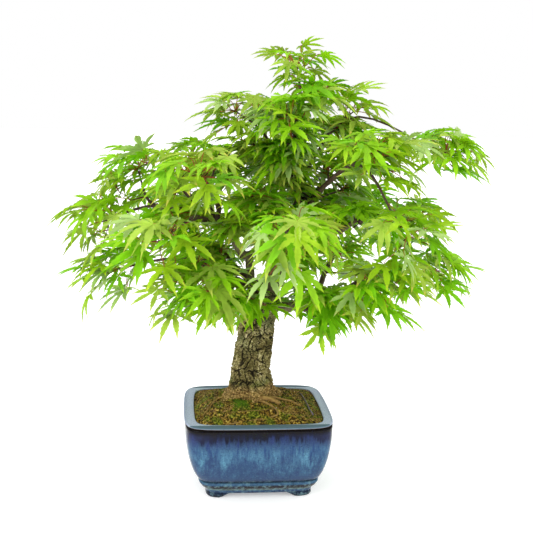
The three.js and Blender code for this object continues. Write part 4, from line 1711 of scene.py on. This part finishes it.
@dataclass
class Crown:
    """All the twigs and leaves, grown from the boughs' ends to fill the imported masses."""

    masses: list[Mass]
    limbs: list[Limb]
    habit: Habit = field(default_factory=Habit)

    def __post_init__(self) -> None:
        """Sets up the growth: the random source, the crown's box, and empty lists."""
        self.rng = np.random.default_rng(self.habit.seed)
        corners = np.concatenate([mass.corners for mass in self.masses])
        self.low, self.high = corners.min(0), corners.max(0)
        self.axis = np.array([(self.low[0] + self.high[0]) / 2, (self.low[1] + self.high[1]) / 2])
        self.twigs: list[tuple[Array, Array]] = []
        self.shoots: list[tuple[Array, Array]] = []
        self.stalks: list[Array] = []
        self.leaves: dict[Tone, list[tuple]] = {tone: [] for tone in Tone}

    def share_up(self, height: float) -> float:
        """A height as a share of the crown's."""
        return (height - self.low[2]) / (self.high[2] - self.low[2])

    def share_out(self, place: Array) -> float:
        """How near a place is to the crown's edge, from 0 well inside to 1.

        Args:
            place: where.

        Returns:
            The share.
        """
        half = (self.high[:2] - self.low[:2]) / 2
        away = float(np.linalg.norm((place[:2] - self.axis) / half))
        return float(smooth_step(*self.habit.edge, np.array(away)))

    def leaf_size(self, height: float) -> float:
        """A leaf's length at a height: smaller towards the top."""
        share = smooth_step(0.45, 1.0, np.array(self.share_up(height)))
        return float(self.habit.leaf + (self.habit.leaf_at_top - self.habit.leaf) * share)

    def mass_pad(self, mass: Mass) -> Pad:
        """The pad that fills a mass, grown from the nearest end of a bough.

        Args:
            mass: the foliage mass.

        Returns:
            Its pad.
        """
        gaps = [np.linalg.norm(mass.corners - limb.points[-1], axis=1).min() for limb in self.limbs]
        limb = self.limbs[int(np.argmin(gaps))]
        angles = np.arange(16) * math.tau / 16
        spread = mass.reach(np.stack([np.cos(angles), np.sin(angles), np.zeros(16)], -1))
        way = unit(limb.points[-1] - limb.points[-3])
        hangs = mass.name.endswith("hanging")
        centre = mass.centre + (self.outward(mass.centre) + UP) * self.habit.hanging_shift * hangs
        radius = float(limb.radii[-1])
        return Pad(centre, mass.half_height(), spread, limb.points[-1], way, radius, hangs)

    def inner_pads(self, limb: Limb) -> list[Pad]:
        """Small pads on side shoots along the part of a limb that is inside the crown.

        The limb is cut into even lengths, shorter towards the crown's top, and each bears one shoot that
        rises outward at a random turn. Low in the crown, the shoots are nearly level or sink.

        Args:
            limb: the limb.

        Returns:
            Its pads.
        """
        rng, habit = self.rng, self.habit
        steps = 60
        points, radii = resampled(limb.points, limb.radii, steps)
        length = float(np.linalg.norm(np.diff(points, axis=0), axis=1).sum())
        spacing = habit.inner_spacing * (1.0 - habit.inner_closer * self.share_up(points[-1][2]))
        count = int(length / spacing)
        pads = []
        for number in range(count):
            place = int((number + rng.uniform(0.2, 0.8)) / count * steps)
            start = points[place]
            inside = np.linalg.norm(start[:2] - self.axis) < habit.inner_reach
            turn = rng.random() * math.tau
            reach, rise = rng.uniform(*habit.inner_length), rng.uniform(*habit.inner_rise)
            if not inside or start[2] < self.low[2] + habit.inner_half_height:
                continue
            rise -= habit.inner_drop * (self.share_up(start[2]) < 0.2)
            way = np.array([math.cos(turn), math.sin(turn), rise])
            spread = np.full(16, 0.9 * self.leaf_size(start[2]))
            radius = float(radii[place]) * 0.5
            centre = start + way * reach
            pads.append(Pad(centre, habit.inner_half_height, spread, start, unit(way), radius))
        return pads

    def leaf_places(self, pad: Pad) -> tuple[Array, Array, Array]:
        """Where a pad's leaves join their stalks.

        In each layer, the places follow a sunflower's spiral as seen from above, so that the leaves
        lie evenly beside each other. The layers are domes, one under the other, that sag away from the
        crown's axis. Pads at the crown's edge have fewer leaves in their lower layers.

        Args:
            pad: the pad to fill.

        Returns:
            The places, how far out each is from 0 to 1, and how far down its layer is from 0 to 1.
        """
        habit = self.habit
        full = pad.area() / habit.spacing**2 * (habit.hanging_share if pad.hangs else 1.0)
        turn_jitter, height_jitter = habit.jitter
        places, outs, unders = [], [], []
        for number, (share, level) in enumerate(habit.layers):
            share = share if number == 0 else share * (1 - habit.thinner * self.share_out(pad.centre))
            count = max(2 if number == 0 else 1, round(full * share))
            out = np.sqrt((np.arange(count) + 0.5) / count)
            angle = np.arange(count) * habit.golden_angle + habit.layer_turn * number
            angle = angle + self.rng.normal(0.0, turn_jitter, count)
            kept_in = habit.kept_in * self.leaf_size(pad.centre[2])
            narrower = 1 - habit.layer_shrink * number
            away = out * np.clip(pad.reach(angle) - kept_in, 7 * MM, None) * narrower
            lift = level - habit.dome * out**2 + 0.1 * (self.share_up(pad.centre[2]) > 0.85)
            height = pad.half_height * lift + self.rng.normal(0.0, height_jitter, count)
            sideways = np.stack([np.cos(angle) * away, np.sin(angle) * away], -1)
            height -= habit.sag * np.clip(sideways @ self.outward(pad.centre)[:2], 0.0, None)
            places.append(pad.centre + np.concatenate([sideways, height[:, None]], -1))
            outs.append(out)
            unders.append(np.full(count, number / (len(habit.layers) - 1)))
        return np.concatenate(places), np.concatenate(outs), np.concatenate(unders)

    def grow(self, pad: Pad) -> None:
        """Grows a pad from its bough.

        A spine runs to the pad's heart. Then each leaf's place, the nearest first, is joined by a stalk
        to the closest wood. Where that is too far, a new twig first grows towards it from the wood that
        makes the shortest way back to the bough.

        Args:
            pad: the pad.
        """
        habit = self.habit
        places, outs, unders = self.leaf_places(pad)
        heart = pad.centre - UP * pad.half_height * 0.1
        span = float(np.linalg.norm(heart - pad.start))
        corners = np.stack(
            [
                pad.start - pad.way * 3 * MM,
                pad.start + pad.way * span * 0.35,
                heart + (pad.start - heart) * 0.3,
                heart,
            ]
        )
        spine = bezier(corners[None], habit.twig_rows)[0]
        spine_radii = np.linspace(min(pad.radius, 2.4 * MM), 0.9 * MM, len(spine))
        self.twigs.append((spine, spine_radii))
        wood, thick, owner = spine[3:], spine_radii[3:], np.zeros(len(spine) - 3, int)
        tones = [self.tone(heart[2], 0.0, heart)]
        for number in np.argsort(np.linalg.norm(places - pad.start, axis=1)):
            place = places[number]
            apart = np.linalg.norm(wood - place, axis=1)
            if apart.min() > habit.longest_stalk:
                back = np.linalg.norm(wood - pad.start, axis=1)
                at = int(np.argmin(apart + 0.3 * back))
                tip = place + unit(wood[at] - place) * habit.stalk - UP * 3 * MM
                twig, radii = self.twig(wood[at], tip, min(thick[at] * 0.8, 1.35 * MM))
                self.shoots.append((twig, radii))
                wood = np.concatenate([wood, twig[2:]])
                thick = np.concatenate([thick, radii[2:]])
                owner = np.concatenate([owner, np.full(len(twig) - 2, len(tones))])
                tones.append(self.tone(tip[2], float(outs[number]), tip))
                apart = np.linalg.norm(wood - place, axis=1)
            at = int(np.argmin(np.abs(apart - 0.75 * habit.stalk)))
            out, under = float(outs[number]), float(unders[number])
            self.hang_leaf(pad, wood[at], place, out, under, tones[owner[at]])

    def twig(self, start: Array, tip: Array, radius: float) -> tuple[Array, Array]:
        """A twig that leaves its parent, arches a little and ends level, with its radii.

        Args:
            start: where it leaves its parent.
            tip: where it ends.
            radius: its radius at the start.

        Returns:
            Its points and radii.
        """
        way = tip - start
        length = float(np.linalg.norm(way))
        aside = unit(np.cross(way, UP)) * self.rng.normal(0.0, 0.10) * length
        level = unit(way * np.array([1.0, 1.0, 0.15]))
        corners = np.stack(
            [start, start + way * 0.35 + aside + UP * 0.10 * length, tip - level * 0.3 * length, tip]
        )
        path = bezier(corners[None], self.habit.twig_rows)[0]
        return path, np.linspace(radius, 0.5 * MM, len(path))

    def outward(self, place: Array) -> Array:
        """The level way from the crown's axis to a place, one long from 50 mm out."""
        offset = place[:2] - self.axis
        return np.array([*offset, 0.0]) / max(50 * MM, float(np.linalg.norm(offset)))

    def tone(self, height: float, out: float, place: Array) -> Tone:
        """A shoot's green, drawn by chance: paler high up and on the left as painted light from above
        and the left, deep green likelier low down as painted shade, and more grey-green in front and at
        a pad's rim as painted sheen.

        Args:
            height: its height.
            out: how far out on its pad it is, from 0 to 1.
            place: where it is, for the way that it faces.

        Returns:
            The green.
        """
        share = self.share_up(height)
        outward = self.outward(place)
        left = float(np.clip(-outward[0], 0.0, 1.0))
        front = float(np.clip(-outward[1], 0.0, 1.0))
        # Painted light: paler greens high up and on the left, deep green low down as painted shade, and
        # the sheen's grey-green in front and at a pad's rim as painted sheen.
        weights = {
            Tone.SAGE: 0.10 + 0.06 * out + 0.08 * front,
            Tone.SPRING: 0.12 + 0.12 * share + 0.20 * left,
            Tone.LIME: 0.18 + 0.12 * share + 0.10 * left,
            Tone.FRESH: 0.34,
            Tone.DEEP: 0.24 - 0.12 * share,
            Tone.OLIVE: 0.05 + 0.14 * front * (share < 0.6),
        }
        chances = np.clip(np.array(list(weights.values())), 0.02, None)
        return list(weights)[int(self.rng.choice(len(chances), p=chances / chances.sum()))]

    def hang_leaf(
        self, pad: Pad, node: Array, base: Array, out: float, under: float, tone: Tone
    ) -> None:
        """Hangs one leaf, on a stalk from a twig.

        Its midrib points out from the pad's middle and the crown's axis. It points down more where it is
        further out on its pad, in a lower layer, at the crown's edge, or on the spray that hangs.

        Args:
            pad: the pad that it belongs to.
            node: where its stalk leaves the twig.
            base: where its stalk meets its blade.
            out: how far out on its pad it is, from 0 to 1.
            under: how far down its layer is, from 0 to 1.
            tone: its twig's green, which some leaves keep.
        """
        rng, habit = self.rng, self.habit
        from_middle = (base - pad.centre) * np.array([1.0, 1.0, 0.0])
        from_middle = from_middle / max(float(np.linalg.norm(from_middle)), 12 * MM)
        way = from_middle * (0.3 + 0.6 * out) + 0.9 * self.outward(base)
        turn = math.atan2(way[1], way[0]) + rng.normal(0.0, habit.turn)
        level = np.array([math.cos(turn), math.sin(turn), 0.0])
        tilt = rng.normal(*habit.tilt) + habit.tilt_out * out + habit.tilt_under * under
        tilt = tilt + habit.tilt_edge * self.share_out(base) + habit.tilt_hanging * pad.hangs
        tilt = math.radians(tilt)
        midrib = level * math.cos(tilt) - UP * math.sin(tilt)
        facing = level * math.sin(tilt) + UP * math.cos(tilt)
        roll = math.radians(rng.normal(0.0, habit.roll))
        facing = unit(facing * math.cos(roll) + np.cross(midrib, facing) * math.sin(roll))
        length = float(np.linalg.norm(base - node))
        bend = node + (base - node) * 0.4 + UP * 0.12 * length
        self.stalks.append(np.stack([node, bend, base - midrib * 0.25 * length, base]))
        if rng.random() > habit.own_tone:
            tone = self.tone(base[2], out, base)
        size = self.leaf_size(base[2]) * rng.uniform(*habit.sizes)
        size = size * (1.0 - habit.smaller_at_rim * (out > 0.8))
        self.leaves[tone].append((base, midrib, facing, size, rng.uniform(*habit.droop)))

    def build(self) -> None:
        """Grows the crown and makes its twigs, stalks and leaves, which stand for the masses."""
        pads = [self.mass_pad(mass) for mass in self.masses]
        for limb in self.limbs:
            pads += self.inner_pads(limb)
        for pad in pads:
            self.grow(pad)
        shape = LeafShape()
        for number, (tone, rows) in enumerate(self.leaves.items()):
            leaves = Leaves(*(np.array([row[i] for row in rows]) for i in range(5)))
            blades = leaves.surface(shape, self.rng)
            piece = blades.piece(f"leaves_{tone.name.lower()}", *tone.materials())
            if number == 0:
                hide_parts(*[mass.name for mass in self.masses])
            LOG.info("%s: %d leaves", tone.name, len(rows))
        maroon = WoodFinish("maroon_shoot", (0.40, 0.16, 0.14), (0.30, 0.17, 0.13), 9 * MM, 0.45)
        grey = WoodFinish("grey_twig", (0.40, 0.33, 0.28), (0.28, 0.20, 0.18), 6 * MM, 0.7)
        red = WoodFinish("red_stalk", (0.72, 0.24, 0.18), (0.62, 0.42, 0.18), 12 * MM, 0.4)
        woods = (("twigs", self.twigs, grey, 7), ("shoots", self.shoots, maroon, 6))
        for name, tubes, finish, sides in woods:
            points, radii = (np.stack([tube[i] for tube in tubes]) for i in (0, 1))
            many_tubes(points, radii, sides).piece(name, finish.material())
        curves = bezier(np.stack(self.stalks), 6)
        radii = np.broadcast_to(np.linspace(0.62, 0.42, 6) * MM, curves.shape[:2])
        many_tubes(curves, radii, 5).piece("leaf_stalks", red.material())


# The tree and the studio


@dataclass
class Tree:
    """The woody frame and the crown on it."""

    nodes: dict[str, bpy.types.Object]
    main_names: tuple[str, ...] = (
        "leader", "leader_top", "bough_left", "bough_right", "bough_low_right",
    )

    def build(self) -> None:
        """Makes the trunk, the boughs and the crown."""
        self.build_trunk()
        limbs = [Limb.from_node(name, self.nodes[name], 22) for name in self.main_names]
        boughs = [
            Limb.from_node(name, node, 12)
            for name, node in sorted(self.nodes.items())
            if name.startswith("bough_to")
        ]
        self.build_boughs(limbs, boughs)
        masses = [
            Mass.from_node(name, node)
            for name, node in sorted(self.nodes.items())
            if name.startswith("foliage")
        ]
        Crown(masses, limbs + boughs).build()

    def build_trunk(self) -> None:
        """Makes the trunk in relief."""
        solid = Limb.from_node("trunk", self.nodes["trunk"], 10)
        low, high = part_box("trunk")
        surface = Trunk().surface(solid, low.z, high.z)
        piece = surface.piece("barked_trunk", BarkFinish(low.z).material())
        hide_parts("trunk")

    def build_boughs(self, limbs: list[Limb], boughs: list[Limb]) -> None:
        """Makes the main limbs in plated bark and the smaller boughs in smoother bark.

        Args:
            limbs: the main limbs.
            boughs: the smaller boughs.
        """
        old_bark = WoodFinish("old_bark", (0.50, 0.46, 0.36), (0.34, 0.29, 0.21), 5 * MM, 0.85)
        young_bark = WoodFinish("young_bark", (0.42, 0.34, 0.29), (0.29, 0.20, 0.17), 6 * MM, 0.65)
        heavy = [
            limb.drawn_out(12 * MM, 3 * MM).barked(110, 40, 0.09 * limb.radii.mean(), 5 * MM, 31 + i)
            for i, limb in enumerate(limbs)
        ]
        piece = Surface.joined(heavy).piece("main_boughs", old_bark.material())
        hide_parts(*[limb.name for limb in limbs])
        light = [
            limb.drawn_out(6 * MM, 3 * MM).barked(44, 18, 0.06 * limb.radii.mean(), 3.5 * MM, 61 + i)
            for i, limb in enumerate(boughs)
        ]
        piece = Surface.joined(light).piece("small_boughs", young_bark.material())
        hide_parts(*[limb.name for limb in boughs])


@dataclass
class Studio:
    """A pale floor, soft light from all round, and the camera before the pot."""

    pot: Pot
    floor_size: float = 60.0
    distance: float = 1147.5 * MM  # from the pot's middle, in front of it
    aside: float = 98.0 * MM  # to the left of it
    camera_height: float = 504.5 * MM
    heading: float = 5.42  # degrees to the right of straight ahead
    pitch: float = 9.74  # degrees down
    roll: float = 1.2
    lens: float = 57.75
    reflected: float = 0.3  # how bright the surround is in reflections
    ambient: float = 1.48  # how bright it is as a light
    aim: float = 0.3  # the height that the lamps face
    lamps: tuple[tuple[str, tuple[float, float, float], float, float], ...] = (  # place, size, watts
        ("key", (-1.5, -1.2, 1.5), 1.2, 11.0),
        ("fill", (1.7, -1.2, 1.2), 0.9, 3.0),
        ("top", (-0.3, 0.5, 2.4), 1.6, 4.0),
    )

    def build(self) -> None:
        """Sets up the floor, the world, the lamps and the camera."""
        self.build_floor()
        self.build_world()
        for lamp in self.lamps:
            self.lamp(*lamp)
        self.build_camera()
        bpy.context.scene.view_settings.view_transform = "Standard"
        bpy.context.scene.view_settings.look = "None"

    def build_floor(self) -> None:
        """A wide level sheet, as a grid."""
        side = np.linspace(-self.floor_size / 2, self.floor_size / 2, 15)
        x, y = np.meshgrid(side, side, indexing="xy")
        mesh = bpy.data.meshes.new("floor")
        vertices = np.stack([x, y, np.zeros_like(x)], -1).reshape(-1, 3)
        mesh.from_pydata(vertices.tolist(), [], grid_quads(15, 15, wrap=False).tolist())
        mesh.materials.append(FloorFinish().material())
        floor = bpy.data.objects.new("floor", mesh)
        bpy.context.scene.collection.objects.link(floor)

    def build_world(self) -> None:
        """An even white surround, dimmer in reflections, as in a dark studio with soft lamps."""
        world = bpy.data.worlds.new("surround")
        bpy.context.scene.world = world
        world.use_nodes = True
        wiring = Wiring(world.node_tree)
        rays = wiring.add("ShaderNodeLightPath").outputs
        dimmed = wiring.math("MULTIPLY", rays["Is Glossy Ray"], 1.0 - self.reflected)
        lifted = wiring.math("MULTIPLY", rays["Is Diffuse Ray"], self.ambient - 1.0)
        strength = wiring.math("ADD", wiring.math("SUBTRACT", 1.0, dimmed), lifted)
        background = world.node_tree.nodes["Background"]
        background.inputs["Color"].default_value = (1.0, 1.0, 1.0, 1.0)
        world.node_tree.links.new(strength, background.inputs["Strength"])

    def lamp(self, name: str, place: tuple[float, float, float], size: float, power: float) -> None:
        """A square soft lamp that faces the crown.

        Args:
            name: its name.
            place: where it hangs.
            size: the length of its sides.
            power: its power in watts.
        """
        data = bpy.data.lights.new(name, "AREA")
        data.size = size
        data.energy = power
        lamp = bpy.data.objects.new(name, data)
        target = Vector((self.pot.centre[0], self.pot.centre[1], self.aim))
        lamp.location = place
        lamp.rotation_euler = (target - Vector(place)).to_track_quat("-Z", "Y").to_euler()
        bpy.context.scene.collection.objects.link(lamp)

    def build_camera(self) -> None:
        """The camera, placed from the middle of the pot."""
        data = bpy.data.cameras.new("camera")
        data.sensor_width = 36.0
        data.lens = self.lens
        data.clip_end = 60.0
        camera = bpy.data.objects.new("camera", data)
        x, y = self.pot.centre
        place = Matrix.Translation((x - self.aside, y - self.distance, self.camera_height))
        turned = Matrix.Rotation(math.radians(-self.heading), 4, "Z")
        tipped = Matrix.Rotation(math.radians(90.0 - self.pitch), 4, "X")
        rolled = Matrix.Rotation(math.radians(self.roll), 4, "Z")
        camera.matrix_world = place @ turned @ tipped @ rolled
        bpy.context.scene.collection.objects.link(camera)
        bpy.context.scene.camera = camera


def main() -> None:
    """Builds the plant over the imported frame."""
    logging.basicConfig(level=logging.INFO, format="%(name)s %(message)s")
    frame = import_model()
    pot = Pot.from_frame()
    pot.build()
    Soil.from_frame(pot).build()
    Tree(frame["nodes"]).build()
    Studio(pot).build()


if __name__ == "__main__":
    main()
